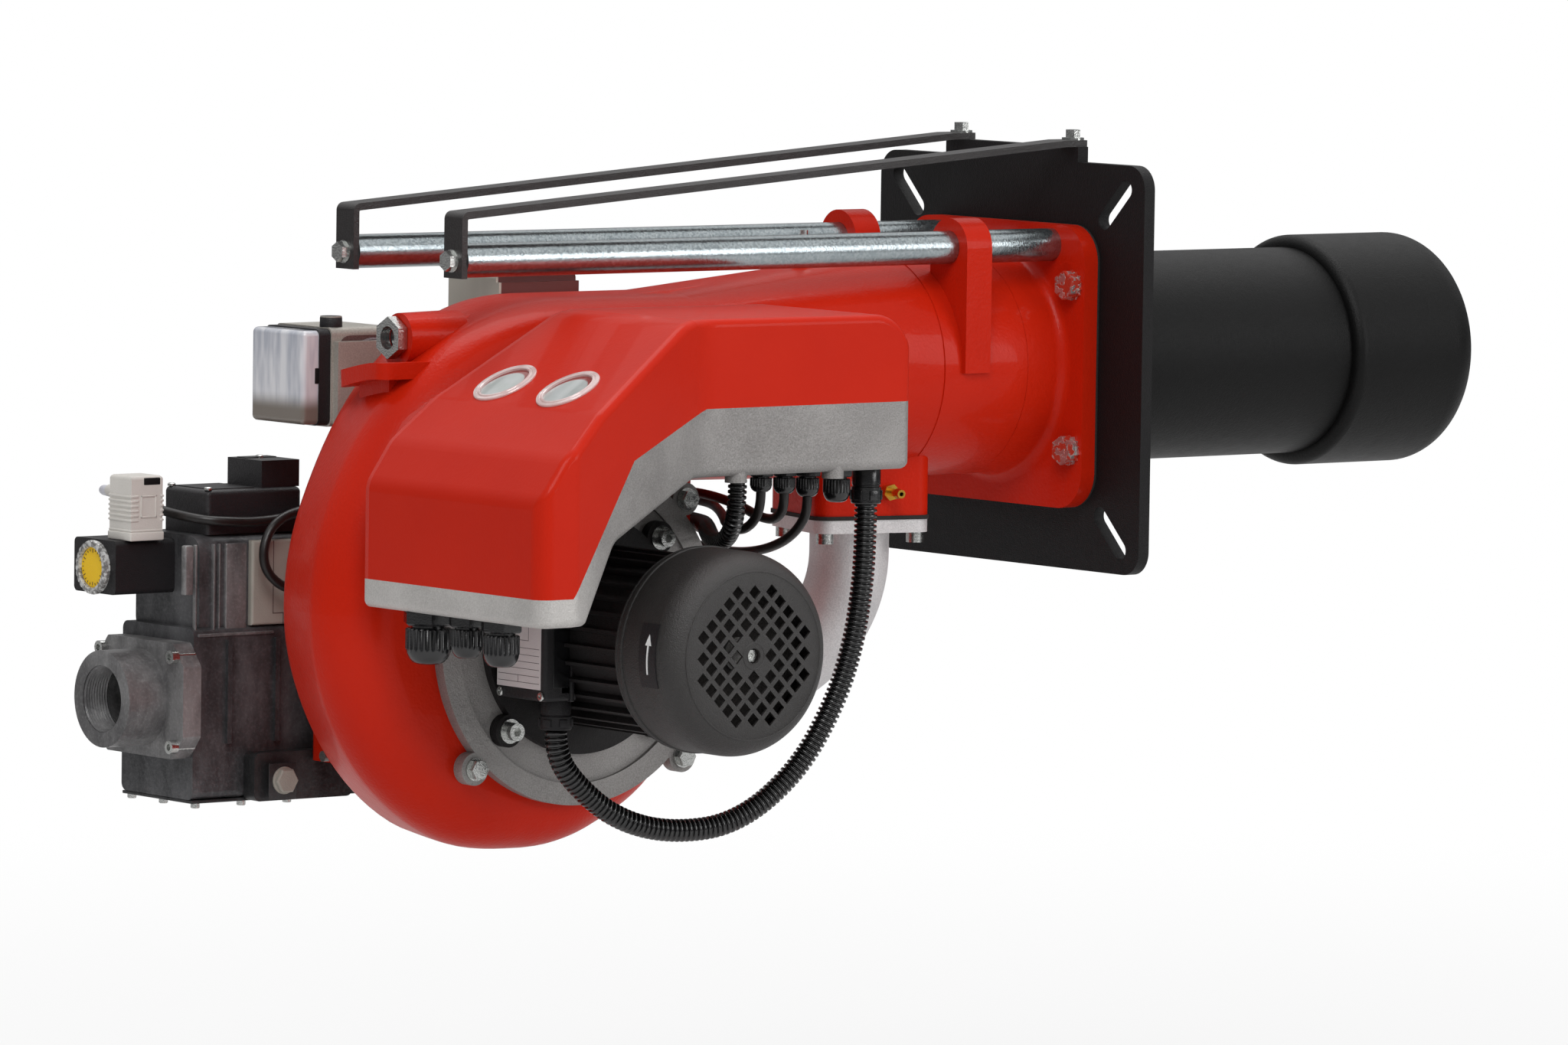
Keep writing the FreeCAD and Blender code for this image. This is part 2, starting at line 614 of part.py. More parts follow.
def runs_along(edge, axis):
    """True for a straight edge parallel to axis."""
    first, last = edge.Vertexes[0].Point, edge.Vertexes[-1].Point
    way = last - first
    if way.Length < 1e-6 or edge.Curve.TypeId != "Part::GeomLine":
        return False
    return abs(way.normalize().dot(Vector(*axis))) > 0.999


def close_to(value, target, slack=0.01):
    return abs(value - float(target)) < slack


parts = {}


def piece(node, thing):
    """Name a finished piece of the burner."""
    thing.Label = node
    parts[node] = thing
    return thing


def shape_piece(node, shape):
    thing = doc.addObject("Part::Feature", node)
    thing.Shape = shape
    return piece(node, thing)


# Mounting plate, blast tube and flame head

head_start = tube_length - head_overlap
head_end = head_start + head_length
flange_front = -plate_thick - gasket_thick
flange_rear = flange_front - flange_thick
collar_rear = flange_rear - collar_length
plate_top = plate_half_height + tab_rise

plate = new_body("plate_body")
plate_line = new_sketch(plate, "plate_line", "YZ_Plane")
outline(plate_line, [
    (-plate_half_width, -plate_half_height), (plate_half_width, -plate_half_height),
    (plate_half_width, plate_half_height), (tab_half_width, plate_half_height),
    (tab_half_width, plate_top), (-tab_half_width, plate_top),
    (-tab_half_width, plate_half_height), (-plate_half_width, plate_half_height),
])
padded(plate, "plate_slab", plate_line, plate_thick, reverse=True)
filleted(plate, "plate_corners", plate_corner, lambda e: runs_along(e, (1, 0, 0))
         and close_to(abs(e.CenterOfMass.y), plate_half_width))
plate_bore = new_sketch(plate, "plate_bore", "YZ_Plane")
ring_line(plate_bore, (0, 0), tube_radius + plate_bore_gap)
for sign_y in (-1, 1):
    for sign_z in (-1, 1):
        ring_line(plate_bore, (bolt_y * sign_y, bolt_z * sign_z), bolt_radius + press_gap)
pocketed(plate, "plate_holes", plate_bore, plate_thick)


def slot_line(sketch, turn):
    """A slot that points at the plate's middle, in the corner that turn degrees gives."""
    way = Rotation(Vector(0, 0, 1), turn)
    near = float(slot_circle - slot_half_run)
    far = float(slot_circle + slot_half_run)
    wide = float(slot_radius)
    corners = [way.multVec(Vector(u, v, 0)) for u, v in
               ((near, -wide), (far, -wide), (far + wide, 0), (far, wide), (near, wide), (near - wide, 0))]
    sketch.addGeometry(Part.LineSegment(corners[0], corners[1]), False)
    sketch.addGeometry(Part.Arc(corners[1], corners[2], corners[3]), False)
    sketch.addGeometry(Part.LineSegment(corners[3], corners[4]), False)
    sketch.addGeometry(Part.Arc(corners[4], corners[5], corners[0]), False)


slot_sketch = new_sketch(plate, "slot_sketch", "YZ_Plane")
for corner in range(4):
    slot_line(slot_sketch, 45 + 90 * corner)
pocketed(plate, "plate_slots", slot_sketch, plate_thick)
strap_holes = new_sketch(plate, "strap_holes", "XY_Plane", plate_top)
for sign in SIDES.values():
    ring_line(strap_holes, (-plate_thick / 2, bar_y * sign), strap_hole_radius + press_gap)
pocketed(plate, "strap_screw_holes", strap_holes, strap_hole_depth)
piece("mounting_plate", plate)

gasket_block = block("gasket_block", (flange_front, -flange_half, -flange_half),
                     (gasket_thick, flange_half * 2, flange_half * 2))
gasket_holes = [cylinder("gasket_bore", tube_radius + plate_bore_gap, gasket_thick,
                         (flange_front, 0, 0), "x")]
gasket_holes += [cylinder("gasket_hole", bolt_radius + press_gap, gasket_thick,
                          (flange_front, bolt_y * a, bolt_z * b), "x") for a in (-1, 1) for b in (-1, 1)]
gasket_flat = rounded("gasket_round", gasket_block, flange_corner, lambda e: runs_along(e, (1, 0, 0)))
piece("flange_gasket", difference("gasket", gasket_flat, *gasket_holes))

flange = new_body("flange_body")
flange_line = new_sketch(flange, "flange_line", "YZ_Plane", flange_rear)
outline(flange_line, [(-flange_half, -flange_half), (flange_half, -flange_half),
                      (flange_half, flange_half), (-flange_half, flange_half)])
padded(flange, "flange_slab", flange_line, flange_thick)
filleted(flange, "flange_corners", flange_corner, lambda e: runs_along(e, (1, 0, 0)))
collar_line = new_sketch(flange, "collar_line", "YZ_Plane", flange_rear)
ring_line(collar_line, (0, 0), collar_radius)
padded(flange, "collar", collar_line, collar_length, reverse=True)
filleted(flange, "collar_fillet", collar_root, lambda e: e.Curve.TypeId == "Part::GeomCircle"
         and close_to(e.Curve.Radius, collar_radius) and close_to(e.CenterOfMass.x, flange_rear))
flange_holes = new_sketch(flange, "flange_holes", "YZ_Plane", flange_front)
ring_line(flange_holes, (0, 0), tube_radius + press_gap)
pocketed(flange, "flange_bore", flange_holes, flange_thick + collar_length)
bolt_holes = new_sketch(flange, "bolt_holes", "YZ_Plane", flange_front)
for sign_y in (-1, 1):
    for sign_z in (-1, 1):
        ring_line(bolt_holes, (bolt_y * sign_y, bolt_z * sign_z), bolt_radius + press_gap)
    ring_line(bolt_holes, (bar_y * sign_y, bar_z), bar_radius + press_gap)
pocketed(flange, "flange_drillings", bolt_holes, flange_thick)
piece("fixed_flange", flange)

tooth_count = 14


def toothed_washer(y, z):
    points = []
    for i in range(2 * tooth_count):
        reach = float(tooth_outer if i % 2 else tooth_inner)
        turn = math.pi * i / tooth_count
        points.append(vec(flange_rear - tooth_thick, y + reach * math.cos(turn), z + reach * math.sin(turn)))
    star = Part.Face(Part.makePolygon(points + points[:1])).extrude(vec(tooth_thick, 0, 0))
    hole = Part.makeCylinder(float(bolt_radius + press_gap), float(tooth_thick),
                             vec(flange_rear - tooth_thick, y, z), Vector(1, 0, 0))
    return star.cut(hole)


flange_bolts = []
for sign_y in (-1, 1):
    for sign_z in (-1, 1):
        seat = (flange_rear - tooth_thick, bolt_y * sign_y, bolt_z * sign_z)
        flange_bolts.append(hex_bolt("flange_bolt", seat, "-x", bolt_flats, bolt_head, bolt_radius,
                                     tooth_thick + flange_thick + gasket_thick + plate_thick))
flange_washers = doc.addObject("Part::Feature", "toothed_washers")
flange_washers.Shape = Part.makeCompound([
    toothed_washer(float(bolt_y) * a, float(bolt_z) * b) for a in (-1, 1) for b in (-1, 1)])
piece("flange_bolts", group("flange_bolt_set", *flange_bolts, flange_washers))

piece("blast_tube", tube("blast_tube_pipe", tube_radius, tube_radius - tube_wall,
                         tube_seat + tube_length, (-tube_seat, 0, 0), "x"))


flame_head = new_body("flame_head_body")
head_line = new_sketch(flame_head, "head_line", "XZ_Plane")
head_inside = head_radius - head_wall
outline(head_line, [
    (head_start, tube_radius + press_gap), (head_start, head_radius),
    (head_end, head_radius), (head_end, head_mouth),
    (head_end - head_wall, head_mouth), (head_end - head_wall, head_inside),
    (head_start + head_seat, head_inside), (head_start + head_seat, tube_radius + press_gap),
])
revolved(flame_head, "head_turned", head_line)
filleted(flame_head, "head_mouth_round", head_nose, lambda e: e.Curve.TypeId == "Part::GeomCircle"
         and close_to(e.Curve.Radius, head_radius) and close_to(e.CenterOfMass.x, head_end))
filleted(flame_head, "head_rim_round", head_shoulder, lambda e: e.Curve.TypeId == "Part::GeomCircle"
         and close_to(e.Curve.Radius, head_radius) and close_to(e.CenterOfMass.x, head_start))
filleted(flame_head, "head_mouth_inside", head_nose - head_wall,
         lambda e: e.Curve.TypeId == "Part::GeomCircle" and close_to(e.Curve.Radius, head_inside)
         and close_to(e.CenterOfMass.x, head_end - head_wall))
piece("flame_head", flame_head)

# Slide bars, straps and their bolts


def slide_bar(side, sign):
    return difference(
        side + "_bar",
        cylinder(side + "_bar_rod", bar_radius, bar_end + flange_front, (-bar_end, bar_y * sign, bar_z), "x"),
        cylinder(side + "_bar_thread", end_bolt_radius + press_gap, end_bolt_depth,
                 (-bar_end, bar_y * sign, bar_z), "x"),
    )


piece("slide_bars", group("slide_bar_pair", *[slide_bar(side, sign) for side, sign in SIDES.items()]))

strap = new_body("strap_body")
strap_line = new_sketch(strap, "strap_line", "XZ_Plane", bar_y - strap_width / 2)
outline(strap_line, [
    (-bar_end - strap_thick, strap_foot), (-bar_end, strap_foot),
    (-bar_end, strap_top - strap_thick), (-strap_flat, plate_top), (0, plate_top),
    (0, plate_top + strap_thick), (-strap_flat, plate_top + strap_thick),
    (-bar_end - strap_thick, strap_top),
])
padded(strap, "strap_strip", strap_line, strap_width)
filleted(strap, "strap_outer_bend", strap_bend, lambda e: runs_along(e, (0, 1, 0))
         and close_to(e.CenterOfMass.x, -bar_end - strap_thick) and close_to(e.CenterOfMass.z, strap_top))
filleted(strap, "strap_inner_bend", strap_bend - strap_thick, lambda e: runs_along(e, (0, 1, 0))
         and close_to(e.CenterOfMass.x, -bar_end) and close_to(e.CenterOfMass.z, strap_top - strap_thick))
strap_foot_hole = new_sketch(strap, "strap_foot_hole", "YZ_Plane", -bar_end)
ring_line(strap_foot_hole, (-bar_y, bar_z), end_bolt_radius + press_gap)
pocketed(strap, "strap_bolt_hole", strap_foot_hole, strap_thick)
strap_top_hole = new_sketch(strap, "strap_top_hole", "XY_Plane", plate_top + strap_thick)
ring_line(strap_top_hole, (-plate_thick / 2, -bar_y), strap_hole_radius + press_gap)
pocketed(strap, "strap_screw_hole", strap_top_hole, strap_thick)
piece("bar_straps", group("strap_pair", strap, mirrored("far_strap", strap)))

strap_fasteners = []
for side, sign in SIDES.items():
    foot = (-bar_end - strap_thick, bar_y * sign, bar_z)
    top = (-plate_thick / 2, bar_y * sign, plate_top + strap_thick)
    foot_washer = shifted(foot, "x", -end_washer_thick)
    top_washer = shifted(top, "z", end_washer_thick)
    strap_fasteners += [
        washer(side + "_foot_washer", end_washer, end_bolt_radius + press_gap, end_washer_thick, foot, "-x"),
        hex_bolt(side + "_foot_bolt", foot_washer, "-x", end_bolt_flats, end_bolt_head, end_bolt_radius,
                 end_washer_thick + strap_thick + end_bolt_depth),
        washer(side + "_top_washer", end_washer, strap_hole_radius + press_gap, end_washer_thick, top, "+z"),
        hex_bolt(side + "_top_screw", top_washer, "+z", top_screw_flats, top_screw_head, strap_hole_radius,
                 end_washer_thick + strap_thick + strap_hole_depth),
    ]
piece("strap_bolts", group("strap_bolt_set", *strap_fasteners))

# Air housing: a cast scroll that narrows into a round neck, carried by two lugs on the bars
hood_pads = ((-560, -50), (-400, -30))

scroll_front = motor_x - scroll_step + scroll_radius - scroll_step
scroll_top = motor_z + scroll_step + scroll_radius + scroll_step * 3
scroll_bottom = motor_z - scroll_radius
neck_rear = collar_rear - face_gap


def scroll_face(inset, y):
    """The scroll's outline in the plane at y, drawn inset from the outer skin."""
    step, mean = float(scroll_step), float(scroll_radius)
    mx, mz = float(motor_x), float(motor_z)
    front, top = float(scroll_front) - inset, float(scroll_top) - inset
    corner = float(scroll_corner) - inset
    steps = (((mx - step, mz - step), mean - step - inset, (0, -45, -90)),
             ((mx - step, mz + step), mean + step - inset, (-90, -135, -180)),
             ((mx + step, mz + step), mean + 3 * step - inset, (180, 135, 90)),
             ((front - corner, top - corner), corner, (90, 45, 0)))
    edges, last = [], None
    for centre, radius, turns in steps:
        at = [Vector(centre[0] + radius * math.cos(math.radians(t)), y,
                     centre[1] + radius * math.sin(math.radians(t))) for t in turns]
        if last is not None and last.distanceToPoint(at[0]) > 1e-6:
            edges.append(Part.makeLine(last, at[0]))
        edges.append(Part.Arc(*at).toShape())
        last = at[2]
    edges.append(Part.makeLine(last, edges[0].Vertexes[0].Point))
    return Part.Face(Part.Wire(Part.__sortEdges__(edges)))


def scroll_solid(inset):
    half = float(scroll_half_width) - inset
    solid = scroll_face(inset, -half).extrude(Vector(0, 2 * half, 0))
    rims = [e for e in solid.Edges if not runs_along(e, (0, 1, 0))]
    return solid.makeFillet(float(scroll_round) - inset, rims)


def duct_section(x, y_half, low, top, corner):
    """A rounded rectangle across the duct, as eight edges that start on its side."""
    wires, centres = [], ((y_half - corner, top - corner), (corner - y_half, top - corner),
                          (corner - y_half, low + corner), (y_half - corner, low + corner))
    points = []
    for i, (cy, cz) in enumerate(centres):
        for turn in (90 * i, 90 * i + 45, 90 * i + 90):
            points.append(Vector(x, cy + corner * math.cos(math.radians(turn)),
                                 cz + corner * math.sin(math.radians(turn))))
    for i in range(4):
        first, middle, last = points[3 * i:3 * i + 3]
        wires.append(Part.Arc(first, middle, last).toShape())
        after = points[(3 * i + 3) % 12]
        if last.distanceToPoint(after) > 1e-6:
            wires.append(Part.makeLine(last, after))
    return Part.Wire(wires)


def duct_solid(inset):
    """The duct between the scroll's rounded box section and the neck's circle."""
    half, round_ = float(scroll_half_width) - inset, float(scroll_round) - inset
    low, top = float(duct_low) + inset, float(scroll_top) - inset
    start, end = float(duct_start), float(duct_end)
    radius = float(neck_radius) - 1 - inset
    flat = 1.0
    sections = [duct_section(start, half, low, top, round_),
                duct_section(start + 0.25 * (end - start), half, low, top, round_),
                duct_section(end, radius, -radius, radius, radius - flat)]
    return Part.makeLoft(sections, True, True)


def casting():
    wall = float(cast_wall)
    solid = scroll_solid(0).fuse(duct_solid(0))
    x_way, y_way, z_way = Vector(1, 0, 0), Vector(0, 1, 0), Vector(0, 0, 1)
    neck_length = float(neck_rear - duct_end)
    added = [Part.makeCylinder(float(neck_radius), neck_length, vec(duct_end, 0, 0), x_way)]
    for sign in SIDES.values():
        inner, outer = float(bar_y) - float(lug_radius), float(bar_y) + float(lug_radius)
        low_y = inner if sign > 0 else -outer
        added.append(Part.makeBox(float(lug_thick), outer - inner, float(bar_z - lug_low),
                                  vec(lug_x, low_y, lug_low)))
        added.append(Part.makeCylinder(float(lug_radius), float(lug_thick),
                                       vec(lug_x, bar_y * sign, bar_z), x_way))
    half, depth = float(boss_half), 50.0
    boss = Part.makeBox(2 * half, 2 * half, depth, Vector(-half, -half, 0))
    boss = boss.makeFillet(float(boss_corner), [e for e in boss.Edges if runs_along(e, (0, 0, 1))])
    boss.Placement = Placement(vec(boss_x, 0, boss_face), Rotation(z_way, float(boss_turn)))
    added.append(boss)
    added.append(Part.makeCylinder(float(sight_boss), 52, vec(sight_rear, sight_y, sight_z), x_way))
    ridge_from, ridge_to = vec(sight_rear + 52, sight_y, sight_z + 5), Vector(-290, float(sight_y), 56)
    ridge = ridge_to - ridge_from
    added.append(Part.makeCylinder(10, ridge.Length, ridge_from, ridge))
    added.append(Part.makeSphere(10, ridge_to))
    added.append(Part.makeCylinder(9, 12, vec(air_nipple_x, 0, nipple_boss_top - 12), z_way))
    port = Part.makeBox(88, 68, float(port_flange), vec(port_rear, -42, port_top - port_flange))
    added.append(port.makeFillet(9, [e for e in port.Edges if runs_along(e, (0, 0, 1))]))
    added.append(Part.makeBox(60, 44, 60, vec(port_rear + 14, -30, port_top - 62)))
    for x, z in hood_pads:
        added.append(Part.makeCylinder(11, float(-hood_back - scroll_half_width) + 6,
                                       vec(x, hood_back, z), y_way))
    solid = solid.multiFuse(added)
    hollow = [
        scroll_solid(wall), duct_solid(wall),
        Part.makeCylinder(float(neck_radius) - wall, neck_length + 1, vec(duct_end - 1, 0, 0), x_way),
        Part.makeCylinder(float(opening_radius), 2 * wall, vec(motor_x, -scroll_half_width - 1, motor_z), y_way),
        Part.makeCylinder(float(eye_radius), 2 * wall, vec(motor_x, scroll_half_width - 2 * wall + 1, motor_z),
                          y_way),
        Part.makeCylinder(float(gas_bore), 40, vec(boss_x, 0, boss_face), z_way),
        Part.makeCylinder(float(sight_bore), 72, vec(sight_rear, sight_y, sight_z), x_way),
    ]
    for sign in SIDES.values():
        hollow.append(Part.makeCylinder(float(bar_radius + running_gap), float(lug_thick),
                                        vec(lug_x, bar_y * sign, bar_z), x_way))
    return solid.cut(hollow).removeSplitter()


air_housing = shape_piece("air_housing", casting())

# Motor ring, plate, motor and fan cover, all round one axis across the burner
fin_count = 32

ring_face = -scroll_half_width - ring_thick
disc_face = -scroll_half_width - disc_thick
shield_face = disc_face - shield_thick
rear_face = frame_end - rear_thick
cover_start = frame_end - 2


def on_motor(radius, turn, y):
    """A point at a radius and a turn about the motor axis."""
    return (motor_x + radius * math.cos(math.radians(turn)), y,
            motor_z + radius * math.sin(math.radians(turn)))


CORNERS = (45, 135, 225, 315)
ring_plate = union("ring_plate",
                   cylinder("ring_disc", ring_outer, ring_thick, (motor_x, ring_face, motor_z), "y"),
                   *[cylinder("ring_tab", ring_tab, ring_thick, on_motor(ring_tab_circle, turn, ring_face), "y")
                     for turn in CORNERS])
ring_cut = [cylinder("ring_bore", ring_inner, ring_thick, (motor_x, ring_face, motor_z), "y")]
ring_cut += [cylinder("ring_hole", ring_screw_radius + press_gap, ring_thick,
                      on_motor(ring_tab_circle, turn, ring_face), "y") for turn in CORNERS]
piece("motor_ring", difference("motor_ring_cut", ring_plate, *ring_cut))

ring_screws = []
for turn in CORNERS:
    seat = on_motor(ring_tab_circle, turn, ring_face)
    ring_screws.append(union(
        "ring_screw",
        cylinder("ring_screw_collar", ring_screw_collar, ring_screw_collar_thick,
                 shifted(seat, "y", -ring_screw_collar_thick), "y"),
        hex_bolt("ring_screw_bolt", shifted(seat, "y", -ring_screw_collar_thick), "-y", ring_screw_flats,
                 ring_screw_head, ring_screw_radius, ring_screw_collar_thick + ring_thick),
    ))
piece("ring_screws", group("ring_screw_set", *ring_screws))

disc_holes = [cylinder("disc_bore", disc_bore, disc_thick, (motor_x, disc_face, motor_z), "y")]
disc_holes += [cylinder("disc_hole", ear_screw_radius + press_gap, disc_thick,
                        on_motor(ear_circle, turn, disc_face), "y") for turn in CORNERS]
disc_blank = cylinder("disc_blank", ring_inner - press_gap, disc_thick, (motor_x, disc_face, motor_z), "y")
piece("motor_plate", difference("motor_plate_cut", disc_blank, *disc_holes))

shield_parts = [cylinder("shield_disc", shield_radius, shield_thick, (motor_x, shield_face, motor_z), "y"),
                cone("shield_cone", frame_radius, bearing_outer + 8, 14,
                     (motor_x, shield_face + shield_thick - 3, motor_z), "y")]
shield_parts += [cylinder("shield_ear", ear_radius, shield_thick, on_motor(ear_circle, turn, shield_face), "y")
                 for turn in CORNERS]
shield_cut = [cylinder("shield_bore", bearing_outer, shield_thick + 14, (motor_x, shield_face, motor_z), "y")]
shield_cut += [cylinder("shield_hole", ear_screw_radius + press_gap, shield_thick,
                        on_motor(ear_circle, turn, shield_face), "y") for turn in CORNERS]
shield_blank = union("shield_blank", *shield_parts)
disc_space = tube("shield_space", ring_inner, disc_bore - press_gap, disc_thick + 10,
                  (motor_x, disc_face, motor_z), "y")
piece("motor_flange", difference("motor_flange_cut", shield_blank, disc_space, *shield_cut))

ear_screws = []
for turn in CORNERS:
    seat = on_motor(ear_circle, turn, shield_face)
    ear_screws += [
        washer("ear_washer", ear_washer, ear_screw_radius + press_gap, ear_washer_thick, seat, "-y"),
        socket_screw("ear_screw", shifted(seat, "y", -ear_washer_thick), "-y", ear_screw_head,
                     ear_screw_height, ear_screw_radius, ear_washer_thick + shield_thick + disc_thick),
    ]
piece("motor_flange_screws", group("ear_screw_set", *ear_screws))

frame = new_body("frame_body")
frame_line = new_sketch(frame, "frame_line", "XZ_Plane", -shield_face)
ring_line(frame_line, (0, 0), frame_radius)
ring_line(frame_line, (0, 0), frame_bore)
padded(frame, "frame_shell", frame_line, shield_face - frame_end)
fin_line = new_sketch(frame, "fin_line", "XZ_Plane", -shield_face)
outline(fin_line, [(frame_bore + 3, -fin_thick / 2), (fin_reach, -fin_thick / 2),
                   (fin_reach, fin_thick / 2), (frame_bore + 3, fin_thick / 2)])
fin = padded(frame, "fin", fin_line, shield_face - frame_end)
patterned(frame, "fins", [fin], fin_line, "N_Axis", fin_count)
frame.Placement = Placement(vec(motor_x, 0, motor_z), Rotation())
frame.setExpression("Placement.Base.x", motor_x.text)
frame.setExpression("Placement.Base.z", motor_z.text)
piece("motor_frame", frame)

rear_parts = [cylinder("rear_disc", frame_radius, rear_thick, (motor_x, rear_face, motor_z), "y")]
rear_parts += [cylinder("rear_lug", 7, rear_thick, on_motor(lug_reach - 7, turn, rear_face), "y")
               for turn in CORNERS]
rear_bore = cylinder("rear_bore", bearing_outer, rear_thick, (motor_x, rear_face, motor_z), "y")
piece("motor_rear_shield", difference("motor_rear_cut", union("rear_blank", *rear_parts), rear_bore))

piece("motor_stator", tube("motor_stator_ring", frame_bore - press_gap, stator_bore, stack_length,
                           (motor_x, stack_start, motor_z), "y"))
piece("motor_bearings", group("bearing_pair", *[
    tube("bearing", bearing_outer - press_gap, shaft_radius + running_gap, rear_thick,
         (motor_x, at, motor_z), "y") for at in (rear_face, shield_face)]))

cover = new_body("cover_body")
cover_line = new_sketch(cover, "cover_line", "XY_Plane")
outline(cover_line, [
    (0, cover_front), (cover_radius, cover_front), (cover_radius, cover_start),
    (cover_radius - cover_wall, cover_start), (cover_radius - cover_wall, cover_front + cover_wall),
    (0, cover_front + cover_wall),
])
revolved(cover, "cover_turned", cover_line, "V_Axis")
filleted(cover, "cover_edge", cover_round, lambda e: e.Curve.TypeId == "Part::GeomCircle"
         and close_to(e.Curve.Radius, cover_radius) and close_to(e.CenterOfMass.y, cover_front))
filleted(cover, "cover_inside", cover_round - cover_wall, lambda e: e.Curve.TypeId == "Part::GeomCircle"
         and close_to(e.Curve.Radius, cover_radius - cover_wall)
         and close_to(e.CenterOfMass.y, cover_front + cover_wall))
cover.Placement = Placement(vec(motor_x, 0, motor_z), Rotation())
cover.setExpression("Placement.Base.x", motor_x.text)
cover.setExpression("Placement.Base.z", motor_z.text)


def grille_cells():
    """Square holes on a lattice turned by 45 degrees, between the plain hub and the grille's edge."""
    pitch, hole, thick = float(grille_pitch), float(grille_hole), float(cover_wall)
    reach, hub = float(grille_radius), float(hub_radius)
    tools, count = [], int(reach / pitch) + 1
    turn = Rotation(Vector(0, 1, 0), 45)
    for i in range(-count, count + 1):
        for j in range(-count, count + 1):
            middle = Vector(i * pitch, 0, j * pitch)
            if middle.Length + hole * 0.6 > reach or middle.Length - hole * 0.5 < hub:
                continue
            cell = Part.makeBox(hole, 3 * thick, hole, Vector(-hole / 2, 0, -hole / 2) + middle)
            tools.append(cell)
    tools.append(Part.makeCylinder(float(hub_hole), 3 * thick, Vector(), Vector(0, 1, 0)))
    cells = Part.makeCompound(tools)
    cells.Placement = Placement(vec(motor_x, cover_front - thick, motor_z), turn)
    return cells


grille_tool = doc.addObject("Part::Feature", "grille_cells")
grille_tool.Shape = grille_cells()
piece("fan_cover", difference("fan_cover_cut", cover, grille_tool))

# The turning parts: shaft with its core, blower wheel, cooling fan
blade_count = 24

shaft_rod = cylinder("shaft_rod", shaft_radius, shaft_inner_end - shaft_outer_end,
                     (motor_x, shaft_outer_end, motor_z), "y")
shaft_core = cylinder("shaft_core", core_radius, stack_length, (motor_x, stack_start, motor_z), "y")
piece("motor_shaft", union("shaft_and_core", shaft_rod, shaft_core))


def blower_wheel():
    y_way = Vector(0, 1, 0)
    start, end = float(wheel_start), float(wheel_end)
    thick, inner, outer = float(wheel_blade), float(wheel_inner), float(wheel_radius)
    plate_thick_ = float(wheel_plate)
    solid = Part.makeCylinder(outer, plate_thick_, Vector(0, start, 0), y_way)
    rim = Part.makeCylinder(outer, plate_thick_, Vector(0, end - plate_thick_, 0), y_way)
    solids = [rim.cut(Part.makeCylinder(inner, end, Vector(0, 0, 0), y_way)),
              Part.makeCylinder(float(wheel_hub), float(wheel_hub_length), Vector(0, start, 0), y_way)]
    middle = 0.5 * (inner + outer)
    for i in range(blade_count):
        turns = [math.radians(360 * i / blade_count + extra) for extra in (0, 5, 12)]
        line = [Vector(r * math.cos(t), start, r * math.sin(t))
                for r, t in zip((inner, middle, outer - 0.5), turns)]
        shift = Vector(-math.sin(turns[1]), 0, math.cos(turns[1])) * thick
        sides = [Part.Arc(*line).toShape(), Part.makeLine(line[2], line[2] + shift),
                 Part.Arc(line[2] + shift, line[1] + shift, line[0] + shift).toShape(),
                 Part.makeLine(line[0] + shift, line[0])]
        solids.append(Part.Face(Part.Wire(sides)).extrude(Vector(0, end - start, 0)))
    solid = solid.multiFuse(solids)
    solid = solid.cut(Part.makeCylinder(float(shaft_radius + press_gap), end - start + 2,
                                        Vector(0, start - 1, 0), y_way))
    solid.translate(vec(motor_x, 0, motor_z))
    return solid.removeSplitter()


shape_piece("blower_wheel", blower_wheel())

fan = new_body("fan_body")
fan_line = new_sketch(fan, "fan_line", "XZ_Plane", -fan_start)
ring_line(fan_line, (0, 0), fan_radius)
ring_line(fan_line, (0, 0), shaft_radius + press_gap)
padded(fan, "fan_disc", fan_line, 3, reverse=True)
fan_hub_line = new_sketch(fan, "fan_hub_line", "XZ_Plane", -fan_start)
ring_line(fan_hub_line, (0, 0), shaft_radius + 6)
ring_line(fan_hub_line, (0, 0), shaft_radius + press_gap)
padded(fan, "fan_hub", fan_hub_line, fan_length, reverse=True)
vane_line = new_sketch(fan, "vane_line", "XZ_Plane", -fan_start)
outline(vane_line, [(shaft_radius + 4, -1), (fan_radius - 1, -1), (fan_radius - 1, 1), (shaft_radius + 4, 1)])
vane = padded(fan, "vane", vane_line, fan_length, reverse=True)
patterned(fan, "vanes", [vane], vane_line, "N_Axis", 8)
fan.Placement = Placement(vec(motor_x, 0, motor_z), Rotation())
fan.setExpression("Placement.Base.x", motor_x.text)
fan.setExpression("Placement.Base.z", motor_z.text)
piece("cooling_fan", fan)


def corner_wire(corners, spot):
    """A closed line with rounded corners (u, v, radius); spot(u, v) puts it in space."""
    count, stops, edges = len(corners), [], []
    flat = [Vector(float(u), float(v), 0) for u, v, radius in corners]
    for i, (u, v, radius) in enumerate(corners):
        at, before, after = flat[i], flat[i - 1], flat[(i + 1) % count]
        if not float(radius):
            stops.append((at, at, at))
            continue
        back, ahead = (before - at).normalize(), (after - at).normalize()
        half = back.getAngle(ahead) / 2
        reach = float(radius) / math.tan(half)
        centre = at + (back + ahead).normalize() * (float(radius) / math.sin(half))
        middle = centre + (at - centre).normalize() * float(radius)
        stops.append((at + back * reach, middle, at + ahead * reach))
    for i, (start, middle, end) in enumerate(stops):
        if start.distanceToPoint(end) > 1e-6:
            edges.append(Part.Arc(*[spot(p.x, p.y) for p in (start, middle, end)]).toShape())
        following = stops[(i + 1) % count][0]
        if end.distanceToPoint(following) > 1e-6:
            edges.append(Part.makeLine(spot(end.x, end.y), spot(following.x, following.y)))
    return Part.Wire(edges)


# Control hood: a red cover over a grey cast base, standing on the scroll's pads
SEAM = ((-573, -40), (-648, -133))


